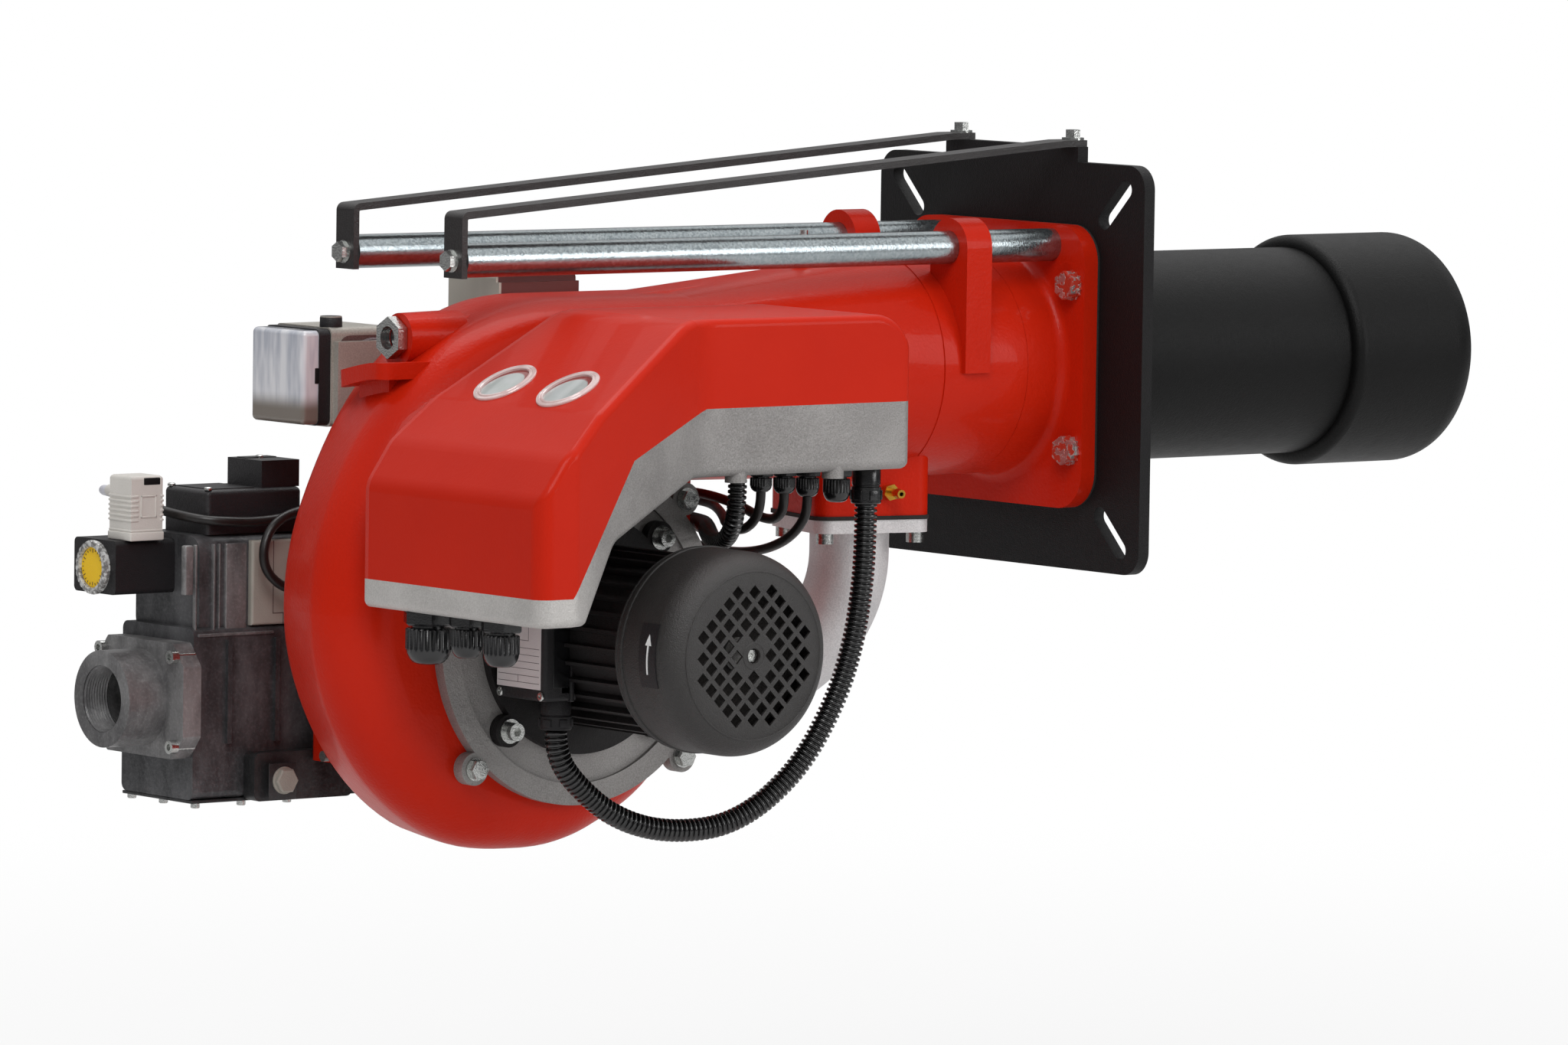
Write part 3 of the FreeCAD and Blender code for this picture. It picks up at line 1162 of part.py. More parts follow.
def hood_block(inset):
    """The whole hood, cover and base together, drawn inset from its outer skin."""
    def upright(u, v):
        return Vector(u, float(hood_back), v)

    side = corner_wire([
        (hood_rear, hood_rear_floor, 0), (hood_rear, -64, 20), (-656, -34, 30),
        (-617, slope_z + slope_rise * (-617 - slope_x), 30), (slope_x, slope_z, 40),
        (-495, hood_top, 0), (hood_front, hood_top - 1, 33), (hood_front, hood_floor, 6),
        (-493, hood_floor, 20), (-597, -98, 20), (-633, hood_rear_floor, 6),
    ], upright)
    plan = corner_wire([
        (hood_rear, hood_back + 60, 0), (hood_rear, hood_reach, 12), (-645, hood_reach, 14),
        (-480, hood_side - 1, 60), (hood_front, hood_side, 8), (hood_front, hood_back + 60, 0),
    ], lambda u, v: Vector(u, v, -250))
    sides, plans = Part.Face(side), Part.Face(plan)
    back = float(hood_back)
    if inset:
        sides, plans = sides.makeOffset2D(-inset), plans.makeOffset2D(-inset)
        back = float(hood_back - hood_plate)
    sides.translate(Vector(0, back - float(hood_back), 0))
    body = sides.extrude(Vector(0, -300, 0)).common(plans.extrude(Vector(0, 0, 400)))
    near = [e for e in body.Edges if e.BoundBox.YMax < back - 20 and e.CenterOfMass.z > -60
            and not runs_along(e, (0, 1, 0)) and not runs_along(e, (0, 0, 1))]
    return body.makeFillet(float(hood_round) - inset, near)


def below_seam():
    points = [(float(hood_front) + 10, float(hood_seam)), (-480, float(hood_seam)), *SEAM,
              (float(hood_rear) - 10, SEAM[-1][1]), (float(hood_rear) - 10, -260),
              (float(hood_front) + 10, -260)]
    wire = Part.makePolygon([Vector(x, 0, z) for x, z in points + points[:1]])
    return Part.Face(wire).extrude(Vector(0, -320, 0))


def window_discs(radius, low, high):
    """Discs square to the sloping face, from low under it to high over it, one for each window."""
    rise = float(slope_rise)
    normal = Vector(-rise, 0, 1).normalize()
    discs = []
    for x, y in ((-594, -144), (-594, -219)):
        on_face = Vector(x, y, float(slope_z) + rise * (x - float(slope_x)))
        discs.append(Part.makeCylinder(float(radius), float(high) - float(low),
                                       on_face + normal * float(low), normal))
    return discs


hood_skin = hood_block(0)
hood_space = hood_block(float(hood_wall))
hood_lower = below_seam()
back_slab = Part.makeBox(500, float(hood_plate), 400,
                         vec(hood_rear - 20, hood_back - hood_plate, -260))
cover_shape = hood_skin.cut([hood_space, hood_lower, back_slab])
cover_shape = cover_shape.cut(window_discs(window_glass + press_gap, -20, 20))
shape_piece("hood_cover", cover_shape.removeSplitter())

base_shape = hood_skin.common(hood_lower).cut(hood_space).fuse(hood_skin.common(back_slab))
base_bosses = [Part.makeCylinder(8, 13, vec(x, hood_side + 8, hood_floor - 5), Vector(0, 0, 1))
               for x in (-445, -356)]
FRONT_GLANDS = ((-401.5, 16.5, 15), (-380, 16.5, 17), (-358.6, 17.5, 20), (-331.5, 20.5, 25))
LOOM_EXIT = (-423, -197)
REAR_GLANDS = ((-138, 34, 38), (-184, 24, 30), (-225, 27, 33))

gland_holes = [Part.makeCylinder(float(gland_thread + press_gap), 20, vec(x, front_gland_y, hood_floor - 10),
                                 Vector(0, 0, 1)) for x in (*[row[0] for row in FRONT_GLANDS], float(conduit_gland_x))]
gland_holes += [Part.makeCylinder(0.4 * flats + float(press_gap), 20,
                                  vec(rear_gland_x, y, hood_rear_floor - 10), Vector(0, 0, 1))
                for y, flats, length in REAR_GLANDS]
shape_piece("hood_base", base_shape.multiFuse(base_bosses).cut(gland_holes).removeSplitter())

shape_piece("hood_windows", Part.makeCompound([
    rim.fuse(glass) for rim, glass in zip(window_discs(window_radius, 0, window_rim),
                                          window_discs(window_glass, -hood_wall, 0))]))


def given(number):
    return Size(number, repr(float(number)))


def gland(name, at, flats, length, bore, thread):
    """A cable gland that hangs from at: hexagon, clamping nut and thread."""
    hex_height, shank = length * 0.26, 6
    solids = [
        prism(name + "_hex", flats, hex_height, shifted(at, "z", -hex_height)),
        cylinder(name + "_nut", flats * 0.46, length * 0.5, shifted(at, "z", -length * 0.76)),
        cone(name + "_dome", flats * 0.34, flats * 0.46, length * 0.24, shifted(at, "z", -length)),
        cylinder(name + "_thread", thread, shank, at),
    ]
    whole = union(name, *solids)
    if not bore:
        return whole
    return difference(name + "_bored", whole,
                      cylinder(name + "_bore", bore, length + shank, shifted(at, "z", -length)))


front_glands = [gland("front_gland", (x, front_gland_y, hood_floor), given(flats), given(length),
                      cable_core, gland_thread) for x, flats, length in FRONT_GLANDS]
front_glands.append(gland("conduit_gland", (conduit_gland_x, front_gland_y, hood_floor), gland_size * 1.2,
                          gland_length, conduit_core, gland_thread))
piece("front_glands", group("front_gland_set", *front_glands))
piece("rear_glands", group("rear_gland_set", *[
    gland("rear_gland", (rear_gland_x, y, hood_rear_floor), given(flats),
          given(length), None, flats * 0.4) for y, flats, length in REAR_GLANDS]))

# Sight glass on the scroll and the two pressure test nipples
sight_seat = (sight_rear - sight_nut_thick, sight_y, sight_z)
piece("sight_glass_nut", difference(
    "sight_nut", prism("sight_nut_hex", sight_nut_flats, sight_nut_thick, sight_seat, "x"),
    cylinder("sight_nut_bore", sight_bore, sight_nut_thick, sight_seat, "x")))
piece("sight_glass_pane", cylinder("sight_pane", sight_bore - press_gap, 3, (sight_rear + 1, sight_y, sight_z), "x"))



def nipple(seat, way):
    """A test nipple that stands on seat: hexagon, stem and blind bore."""
    radius, long = float(nipple_radius), float(nipple_length)
    corners = [Vector(1.6 * radius * math.cos(math.radians(60 * i)), 1.6 * radius * math.sin(math.radians(60 * i)), 0)
               for i in range(7)]
    shape = Part.Face(Part.makePolygon(corners)).extrude(Vector(0, 0, 0.3 * long))
    shape = shape.fuse([Part.makeCylinder(0.8 * radius, long), Part.makeCone(radius, 0.8 * radius, 3,
                                                                             Vector(0, 0, long - 6))])
    shape = shape.cut(Part.makeCylinder(0.4 * radius, long, Vector(0, 0, 4)))
    shape.Placement = Placement(seat, Rotation(Vector(0, 0, 1), way))
    return shape


gas_side = Rotation(Vector(0, 0, 1), float(boss_turn)).multVec(Vector(0, -1, 0))
gas_along = Vector(-gas_side.y, gas_side.x, 0)
gas_seat = vec(boss_x, 0, boss_face + 18) + gas_side * float(boss_half) + gas_along * 10
shape_piece("air_test_nipple", Part.makeCompound([
    nipple(vec(air_nipple_x, 0, nipple_boss_top), Vector(0, 0, 1)), nipple(gas_seat, gas_side)]))

# Motor terminal box and its gland
terminal_rear = motor_x - terminal_reach
terminal_low = motor_z - terminal_drop
motor_gland_x = motor_x - motor_gland_back
lid_box = block("lid_box", (terminal_rear, terminal_near, terminal_low),
                (terminal_lid, terminal_length, terminal_height))
piece("terminal_lid", rounded("terminal_lid_round", lid_box, terminal_round, lambda e: not close_to(
    e.BoundBox.XMin, terminal_rear + terminal_lid)))
terminal_block = block("terminal_block", (terminal_rear + terminal_lid, terminal_near, terminal_low),
                       (terminal_depth, terminal_length, terminal_height))
terminal_round_block = rounded("terminal_rounded", terminal_block, terminal_round,
                               lambda e: runs_along(e, (1, 0, 0)))
frame_space = cylinder("frame_space", fin_reach + press_gap, terminal_length, (motor_x, terminal_near, motor_z),
                       "y")
piece("terminal_box", difference("terminal_box_cut", terminal_round_block, frame_space))
piece("motor_gland", gland("motor_gland_whole", (motor_gland_x, motor_gland_y, terminal_low), gland_size,
                           gland_length * 0.8, conduit_core, 1))

# Gas train: gasket, elbow, valve block with its inlet flange, switch, coils and plug


def elbow_path():
    """The pipe's middle line: straight runs joined by the two bends, down and then level."""
    heading = math.radians(float(elbow_turn))
    level = Vector(math.cos(heading), math.sin(heading), 0)
    x_start, bend, second = float(boss_x), float(elbow_bend), float(second_bend)
    top, drop = vec(x_start, 0, elbow_face), vec(x_start, 0, elbow_drop)
    centre = drop + level * bend
    quarter = math.sqrt(0.5) * bend
    middle = centre - level * quarter + Vector(0, 0, -quarter)
    low = centre + Vector(0, 0, -bend)
    far = low + level * float(elbow_level)
    side = Vector(-level.y, level.x, 0)
    pivot = far + side * second
    half = (heading + math.pi) / 2
    mid_turn = pivot - Vector(-math.sin(half), math.cos(half), 0) * second
    end = pivot - Vector(0, -1, 0) * second
    last = Vector(float(valve_front), end.y, end.z)
    edges = [Part.makeLine(top, drop), Part.Arc(drop, middle, low).toShape(), Part.makeLine(low, far),
             Part.Arc(far, mid_turn, end).toShape(), Part.makeLine(end, last)]
    return Part.Wire(edges), last


elbow_line, elbow_end = elbow_path()
valve_y, valve_z = elbow_end.y, elbow_end.z


def pipe_along(path, radius):
    start = path.Edges[0].Vertexes[0].Point
    way = path.Edges[0].Vertexes[1].Point - start
    circle = Part.Wire(Part.makeCircle(float(radius), start, way))
    return path.makePipeShell([circle], True, True)


def boss_plate(top, thick, half, corner):
    """A rounded square plate turned like the gas boss, its upper face at top."""
    plate_shape = Part.makeBox(2 * half, 2 * half, thick, Vector(-half, -half, 0))
    plate_shape = plate_shape.makeFillet(corner, [e for e in plate_shape.Edges if runs_along(e, (0, 0, 1))])
    plate_shape.Placement = Placement(vec(boss_x, 0, float(top) - thick),
                                      Rotation(Vector(0, 0, 1), float(boss_turn)))
    return plate_shape


def boss_screw_place(corner):
    turn = math.radians(45 + 90 * corner + float(boss_turn))
    reach = float(elbow_screw_circle)
    return float(boss_x) + reach * math.cos(turn), reach * math.sin(turn)


screw_places = [boss_screw_place(corner) for corner in range(4)]
gas_screw_holes = [Part.makeCylinder(float(elbow_screw_radius + press_gap), 80, vec(x, y, elbow_face - 40),
                                     Vector(0, 0, 1)) for x, y in screw_places]
gasket_height = float(boss_face - elbow_face)
way_down = Part.makeCylinder(float(gas_bore), 40, vec(boss_x, 0, elbow_face - 20), Vector(0, 0, 1))
shape_piece("gas_gasket", boss_plate(boss_face, gasket_height, float(boss_half) + 1, float(boss_corner)).cut(
    [way_down, *gas_screw_holes]))

elbow_foot = Part.makeCylinder(float(elbow_pipe) + 9, 13, elbow_end, Vector(1, 0, 0))
elbow_shape = boss_plate(elbow_face, float(elbow_flange), float(boss_half), float(boss_corner)).fuse(
    [pipe_along(elbow_line, elbow_pipe), elbow_foot])
shape_piece("gas_elbow", elbow_shape.cut([pipe_along(elbow_line, gas_bore), *gas_screw_holes]))

screw_seat = elbow_face - elbow_flange
elbow_screws = []
for x, y in screw_places:
    elbow_screws.append(socket_screw("elbow_screw", (x, y, screw_seat), "-z", elbow_screw_head,
                                     elbow_screw_height, elbow_screw_radius, elbow_flange + gasket_height))
piece("elbow_screws", group("elbow_screw_set", *elbow_screws))


valve_wide = float(valve_half_width)


def valve_block(front, rear, low, top, half, corner):
    solid = Part.makeBox(front - rear, 2 * half, top - low, Vector(rear, valve_y - half, low))
    return solid.makeFillet(corner, [e for e in solid.Edges if runs_along(e, (1, 0, 0))])


gas_way = Part.makeCylinder(float(valve_bore), float(valve_front - inlet_rear) + 2,
                            vec(inlet_rear - 1, valve_y, valve_z), Vector(1, 0, 0))
lower_block = valve_block(float(valve_front) - 40, float(valve_rear), float(valve_low), float(valve_ledge),
                          valve_wide, 6)
upper_block = valve_block(float(valve_front) - 52, float(valve_rear + upper_setback), float(valve_ledge) - 10,
                          float(valve_top), valve_wide - 5, 14)
valve_neck = Part.makeCylinder(float(elbow_pipe) + 4, 44, vec(valve_front - 44, valve_y, valve_z), Vector(1, 0, 0))
outlet_plate = valve_block(float(valve_front) - 2, float(valve_front) - 18, valve_z - 42, valve_z + 42, 42, 12)
neck_end = Part.makeCylinder(float(elbow_pipe) + 9, 4, vec(valve_front - 4, valve_y, valve_z), Vector(1, 0, 0))
rib_x = (-626, -583, -529)
ribs = [Part.makeBox(4, 4, float(valve_ledge - valve_low) - 50,
                     Vector(x, valve_y - valve_wide - 3, float(valve_low) + 41)) for x in rib_x]
shape_piece("gas_valve_body", lower_block.multiFuse([upper_block, valve_neck, outlet_plate, neck_end, *ribs])
            .cut(gas_way).removeSplitter())

inlet_shape = Part.makeCylinder(float(inlet_neck), float(valve_rear - inlet_rear),
                                vec(inlet_rear, valve_y, valve_z), Vector(1, 0, 0))
octagon = corner_wire([(a * w, b * t, 3) for a, b, w, t in (
    (1, -1, 56, 26), (1, 1, 56, 26), (1, 1, 42, 43), (-1, 1, 42, 43),
    (-1, 1, 56, 26), (-1, -1, 56, 26), (-1, -1, 42, 43), (1, -1, 42, 43))],
    lambda u, v: Vector(float(valve_rear), valve_y + u, valve_z + v))
inlet_flange_plate = Part.Face(octagon).extrude(vec(-inlet_plate, 0, 0))
inlet_thread = Part.makeCylinder(float(inlet_bore), float(inlet_depth), vec(inlet_rear, valve_y, valve_z),
                                 Vector(1, 0, 0))
inlet_places = [(valve_y + a * float(inlet_screw_y), valve_z + b * float(inlet_screw_z))
                for a in (-1, 1) for b in (-1, 1)]
inlet_holes = [Part.makeCylinder(float(inlet_screw_radius + press_gap), 60, vec(inlet_rear, y, z),
                                 Vector(1, 0, 0)) for y, z in inlet_places]
shape_piece("gas_inlet_flange", inlet_shape.fuse(inlet_flange_plate).cut([gas_way, inlet_thread, *inlet_holes]))
piece("inlet_flange_screws", group("inlet_screw_set", *[
    socket_screw("inlet_screw", (valve_rear - inlet_plate, y, z), "-x", inlet_screw_head, inlet_screw_height,
                 inlet_screw_radius, inlet_plate) for y, z in inlet_places]))

# Valve fittings
bracket_box = Part.makeBox(89, valve_y - valve_wide - float(bracket_near), 36,
                           Vector(-609, float(bracket_near), -319))
bracket_box = bracket_box.makeFillet(5, [e for e in bracket_box.Edges if runs_along(e, (0, 1, 0))])
test_plug_hole = Part.makeCylinder(5, 12, Vector(-584, float(bracket_near), -303.5), Vector(0, 1, 0))
test_block = doc.addObject("Part::Feature", "test_block_cast")
test_block.Shape = bracket_box.cut(test_plug_hole)
piece("valve_test_block", group("test_block_and_plug", test_block, union(
    "test_plug_whole",
    prism("test_plug_hex", test_plug_flats, 6, (-584, bracket_near - 6, -303.5), "y"),
    cylinder("test_plug_shank", 5 - 0.02, 11.5, (-584, bracket_near, -303.5), "y"))))
side_cover_y = valve_y - valve_wide + 5 - float(side_cover_thick)
side_cover = Part.makeBox(97, float(side_cover_thick), 63, Vector(-603, side_cover_y, -189.5))
side_cover = side_cover.makeFillet(2, [e for e in side_cover.Edges if close_to(e.BoundBox.YMax, side_cover_y)])
shape_piece("valve_side_cover", side_cover)


switch_length = valve_rear + upper_setback - switch_rear
switch_block = Part.makeBox(float(switch_length), 2 * float(switch_half_width), float(switch_height),
                            vec(switch_rear, dial_y - switch_half_width, switch_low))
switch_block = switch_block.makeFillet(4, [e for e in switch_block.Edges if runs_along(e, (1, 0, 0))])
dial_well = Part.makeCylinder(float(dial_radius) + 1, float(dial_thick) + 1, vec(switch_rear, dial_y, dial_z),
                              Vector(1, 0, 0))
dial_seat = Part.makeCylinder(float(dial_pin + running_gap), 14, vec(switch_rear, dial_y, dial_z),
                              Vector(1, 0, 0))
shape_piece("pressure_switch", switch_block.cut([dial_well, dial_seat, upper_block, lower_block]))
piece("pressure_dial", union(
    "dial_whole",
    cylinder("dial_disc", dial_radius, dial_thick, (switch_rear + face_gap, dial_y, dial_z), "x"),
    cylinder("dial_shaft", dial_pin, 8, (switch_rear + 4, dial_y, dial_z), "x")))

plug_box = block("plug_box", (plug_rear, plug_y - plug_side / 2, switch_low + switch_height),
                 (plug_side, plug_side, plug_height))
plug_round = rounded("plug_round", plug_box, 3, lambda e: not close_to(
    e.BoundBox.ZMin, switch_low + switch_height))
plug_nut = cone("plug_nut", 8.5, 6, 10, (plug_rear + plug_side / 2, plug_y + plug_side / 2,
                                       switch_low + switch_height + 34), "y")
piece("switch_plug", union("switch_plug_whole", plug_round, plug_nut))

coil_low = Part.makeBox(86, 56, 33, vec(-636, valve_y - 34, valve_top))
coil_high = Part.makeBox(34, 44, 20, vec(-584, valve_y - 30, valve_top + 33))
coil_low = coil_low.makeFillet(4, [e for e in coil_low.Edges if not close_to(e.BoundBox.ZMax, valve_top)])
shape_piece("valve_coils", coil_low.fuse(coil_high))

# Damper servo motor on the scroll's far shoulder, and the ignition transformer on the duct
servo_body = block("servo_body_box", (servo_rear + 10, servo_y, servo_low), (53, servo_width, servo_height))
servo_band = block("servo_band_box", (servo_rear, servo_y + 1, servo_low + 1),
                   (10, servo_width - 2, servo_height - 2))
servo_lens = block("servo_lens_box", (servo_rear - 14, servo_y + 2, servo_low + 2),
                   (14, servo_width - 4, servo_height - 4))
servo_body_round = rounded("servo_body_round", servo_body, 5, lambda e: runs_along(e, (1, 0, 0)))
servo_band_round = rounded("servo_band_round", servo_band, 5, lambda e: runs_along(e, (1, 0, 0)))
piece("servo_cover", rounded("servo_cover_round", servo_lens, 4, lambda e: not close_to(
    e.BoundBox.XMin, servo_rear)))
servo_knob = cylinder("servo_knob_turned", 8, 8, (servo_rear + 18, servo_y + 12, servo_low + servo_height))
servo_plate = block("servo_plate_box", (servo_rear + 12, scroll_half_width, servo_low - 34),
                    (46, servo_y - scroll_half_width, servo_height + 24))
piece("servo_band", servo_band_round)
piece("servo_body", union("servo_body_whole", servo_body_round, servo_plate, servo_knob))

transformer_y = scroll_half_width + transformer_plate
transformer_block = block("transformer_block", (transformer_rear, transformer_y, transformer_low),
                          (transformer_length, transformer_width, transformer_height))
transformer_round = rounded("transformer_round", transformer_block, 4, lambda e: not close_to(
    e.BoundBox.YMax, transformer_y))
transformer_back = block("transformer_back", (transformer_rear, scroll_half_width, transformer_low - 58),
                         (transformer_length, transformer_plate, transformer_height + 52))
piece("ignition_transformer", union("transformer_whole", transformer_round, transformer_back))

# Air intake on the far side of the scroll, open underneath, with its damper

intake_outside = rounded("intake_round", block("intake_block", (intake_rear, scroll_half_width, intake_low),
                                               (intake_length, intake_width, intake_height)), 8,
                         lambda e: close_to(e.BoundBox.YMin, scroll_half_width + intake_width)
                         and not close_to(e.BoundBox.ZMax, intake_low))
intake_inside = block("intake_inside", (intake_rear + intake_wall, scroll_half_width, intake_low),
                      (intake_length - intake_wall * 2, intake_width - intake_wall,
                       intake_height - intake_wall))
damper_y = scroll_half_width + intake_width / 2
damper_z = intake_low + damper_rise
intake_bores = cylinder("intake_bores", damper_shaft + running_gap, intake_length,
                        (intake_rear, damper_y, damper_z), "x")
piece("air_intake", difference("air_intake_cut", intake_outside, intake_inside, intake_bores))

damper_half = intake_width / 2 - intake_wall - damper_gap
damper_flap = block("damper_flap", (intake_rear + intake_wall + damper_gap, damper_y - damper_half,
                                    damper_z - damper_thick / 2),
                    (intake_length - (intake_wall + damper_gap) * 2, damper_half * 2, damper_thick))
damper_rod = cylinder("damper_rod", damper_shaft, intake_length + 16,
                      (intake_rear - 12, damper_y, damper_z), "x")
piece("air_damper", union("air_damper_whole", damper_flap, damper_rod))

# Gas pipe, swirl plate and electrodes inside the blast tube
swirl_slots = 18
swirl_x = tube_length + swirl_reach
lance_end = tube_length + lance_reach

lance_low, lance_corner = vec(boss_x, 0, boss_face + 2), vec(boss_x, 0, -lance_bend)
lance_centre = lance_corner + vec(lance_bend, 0, 0)
lance_turn = lance_centre + Vector(-DIAGONAL, 0, DIAGONAL) * float(lance_bend)
lance_level = lance_centre + vec(0, 0, lance_bend)
lance_line = Part.Wire([Part.makeLine(lance_low, lance_corner),
                        Part.Arc(lance_corner, lance_turn, lance_level).toShape(),
                        Part.makeLine(lance_level, vec(lance_end, 0, 0))])
lance_socket = Part.makeCylinder(float(gas_bore - press_gap), 22, lance_low, Vector(0, 0, 1))
shape_piece("gas_head_pipe", pipe_along(lance_line, lance_radius).fuse(lance_socket).cut(
    pipe_along(lance_line, lance_bore)))

swirl = new_body("swirl_body")
swirl_line = new_sketch(swirl, "swirl_line", "YZ_Plane", swirl_x)
ring_line(swirl_line, (0, 0), swirl_radius)
ring_line(swirl_line, (0, 0), lance_radius + press_gap)
for sign in SIDES.values():
    ring_line(swirl_line, (electrode_y * sign, electrode_z), sleeve_radius + press_gap)
padded(swirl, "swirl_disc", swirl_line, swirl_thick)
swirl_slot = new_sketch(swirl, "swirl_slot", "YZ_Plane", swirl_x + swirl_thick)
outline(swirl_slot, [(swirl_radius - 24, -2), (swirl_radius - 5, -2), (swirl_radius - 5, 2),
                     (swirl_radius - 24, 2)])
one_slot = pocketed(swirl, "one_swirl_slot", swirl_slot, swirl_thick)
patterned(swirl, "swirl_slots", [one_slot], swirl_slot, "N_Axis", swirl_slots)
piece("swirl_plate", swirl)

electrodes = []
for side, sign in SIDES.items():
    at = (swirl_x - 120, electrode_y * sign, electrode_z)
    electrodes.append(union(side + "_electrode",
                            cylinder(side + "_sleeve", sleeve_radius, 130, at, "x"),
                            cylinder(side + "_wire", electrode_radius, 190, shifted(at, "x", -40), "x")))
piece("ignition_electrodes", group("electrode_pair", *electrodes))

# Cables and conduits under the hood, each as straight runs joined by tangent arcs


def cord(node, radius, points):
    """A cable's solid along points, the arcs as wide as the shorter run allows."""
    spots, edges, arcs = [vec(*at) for at in points], [], []
    last = spots[0]
    for before, at, after in zip(spots, spots[1:], spots[2:]):
        back, ahead = before - at, after - at
        reach = 0.45 * min(back.Length, ahead.Length)
        half = back.getAngle(ahead) / 2
        arcs.append(reach * math.tan(half))
        back, ahead = back.normalize(), ahead.normalize()
        start, end = at + back * reach, at + ahead * reach
        centre = at + (back + ahead).normalize() * (arcs[-1] / math.sin(half))
        middle = centre + (at - centre).normalize() * arcs[-1]
        edges += [Part.makeLine(last, start), Part.Arc(start, middle, end).toShape()]
        last = end
    edges.append(Part.makeLine(last, spots[-1]))
    path = Part.Wire(edges)
    circle = Part.Wire(Part.makeCircle(float(radius), spots[0], spots[1] - spots[0]))
    solid = path.makePipeShell([circle], True, True)
    print("%s: length %.0f mm, volume %.3f of section times length, arc radii %s" % (
        node, path.Length, solid.Volume / (math.pi * float(radius) ** 2 * path.Length),
        " ".join("%.0f" % arc for arc in arcs)))
    return shape_piece(node, solid)


cable_ends = [float(hood_floor) - length for x, flats, length in FRONT_GLANDS]
cord("motor_conduit", conduit_radius, [
    (motor_gland_x, motor_gland_y, terminal_low - gland_length * 0.8), (motor_gland_x, motor_gland_y, -262),
    (-522, -135.5, -284), (-489, -140, -311), (-446, -148, -324), (-390.4, -158, -320), (-343.7, -170, -283.5),
    (-316.9, -180, -233.4), (-306.2, -188, -188.2), (-303.3, -194, -142.9), (conduit_gland_x, front_gland_y, -108),
    (conduit_gland_x, front_gland_y, hood_floor - gland_length)])
cord("loom_conduit", loom_radius, [
    (*LOOM_EXIT, hood_floor), (-423, -197, -77), (-421.5, -192, -94), (-416, -178, -107), (-407, -156, -113),
    (-394, -130, -113), (-375, -101, -110), (-356, -74, -109), (-339, -48, -109), (-331, -8, -108.5),
    (-331, 40, -107), (-330, 80, -98), (-335, 108, -72), (-347, 121, -38), (-376, 117, -12),
    (-377, 114, 3), (-377, 114, transformer_low)])
cord("cable_a", cable_radius, [
    (FRONT_GLANDS[0][0], front_gland_y, cable_ends[0]), (FRONT_GLANDS[0][0], front_gland_y, -84), (-402.5, -190, -96),
    (-400, -175, -102.5), (-393, -153, -103.5), (-382, -130, -100.5), (-366, -108, -99.5), (-348, -80, -97),
    (-334, -52, -94), (-328, -18, -93), (-329, 25, -92), (-336, 62, -84), (-352, 90, -67), (-380, 105, -55),
    (-420, 112, -50), (-462, 115, -46), (-498, 114, -34), (-519, 112, -16), (servo_rear + 63, 112, -16)])
cord("cable_b", cable_radius, [
    (FRONT_GLANDS[1][0], front_gland_y, cable_ends[1]), (FRONT_GLANDS[1][0], front_gland_y, -84), (-378.5, -190, -92),
    (-375, -176, -96), (-370, -153, -95), (-363, -128, -91), (-355, -97, -88), (-348, -64, -86),
    (-340, -30, -86.5), (-337.5, 10, -87), (-342, 50, -88), (-351, 86, -86), (-366, 118, -84), (-388, 144, -84),
    (-422, 158, -84), (-470, 161, -86.5), (-520, 161, -94), (-548, 160, -104), (-570, 158.5, -111),
    (-598, 158, -113), (-622, 158.5, -112), (-640, 165, -110.5), (-648.5, 185, -108), (-649, 214, -105),
    (-650.5, 240, -100), (-659, 254, -96), (-671, 252, -93),
    (plug_rear + plug_side / 2, 238, switch_low + switch_height + 34), (plug_rear + plug_side / 2, plug_y + plug_side / 2 + 10, switch_low + switch_height + 34)])
cord("cable_c", cable_radius, [
    (FRONT_GLANDS[2][0], front_gland_y, cable_ends[2]), (FRONT_GLANDS[2][0], front_gland_y, -89), (-357, -187, -100.5),
    (-354.5, -170, -111), (-351, -145, -119.5), (-346, -115, -125), (-340, -85, -127.5), (-334, -55, -127),
    (-330, -20, -126), (-332, 25, -124), (-340, 70, -117), (-356, 112, -109), (-385, 148, -105),
    (-430, 153.5, -103), (-480, 153.5, -103), (-530, 151.5, -104), (-570, 147.5, -105), (-592, 144, -114),
    (-602, 142, -130), (-601, 141, -147), (-588, 141, -159), (-573, 141.5, -163.5), (-561, 142, -165),
    (-557, 147, -165), (-557, side_cover_y, -165)])

doc.recompute()
failed = [thing.Label for thing in doc.Objects if "Invalid" in thing.State or "Error" in thing.State]
if failed:
    raise ValueError("these objects failed: %s" % failed)
for node, thing in parts.items():
    shape = thing.Shape
    if shape.isNull() or not shape.isValid() or not shape.Solids:
        raise ValueError("%s has no valid shape" % node)
for node, thing in parts.items():
    thing.Shape.exportStep("parts/%s.step" % node)
    print("%s: %d solids, %.1f cm3" % (node, len(thing.Shape.Solids), thing.Shape.Volume / 1000))
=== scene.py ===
# %% [markdown]
# # An industrial gas burner
# The burner's shape comes from its CAD parts. This lesson gives them their finishes, adds the small
# things that are too fine for CAD, and lights and frames the whole as a studio photograph does.

# %% Load the CAD parts
import bpy
import bmesh
import math
from mathutils import Matrix, Vector


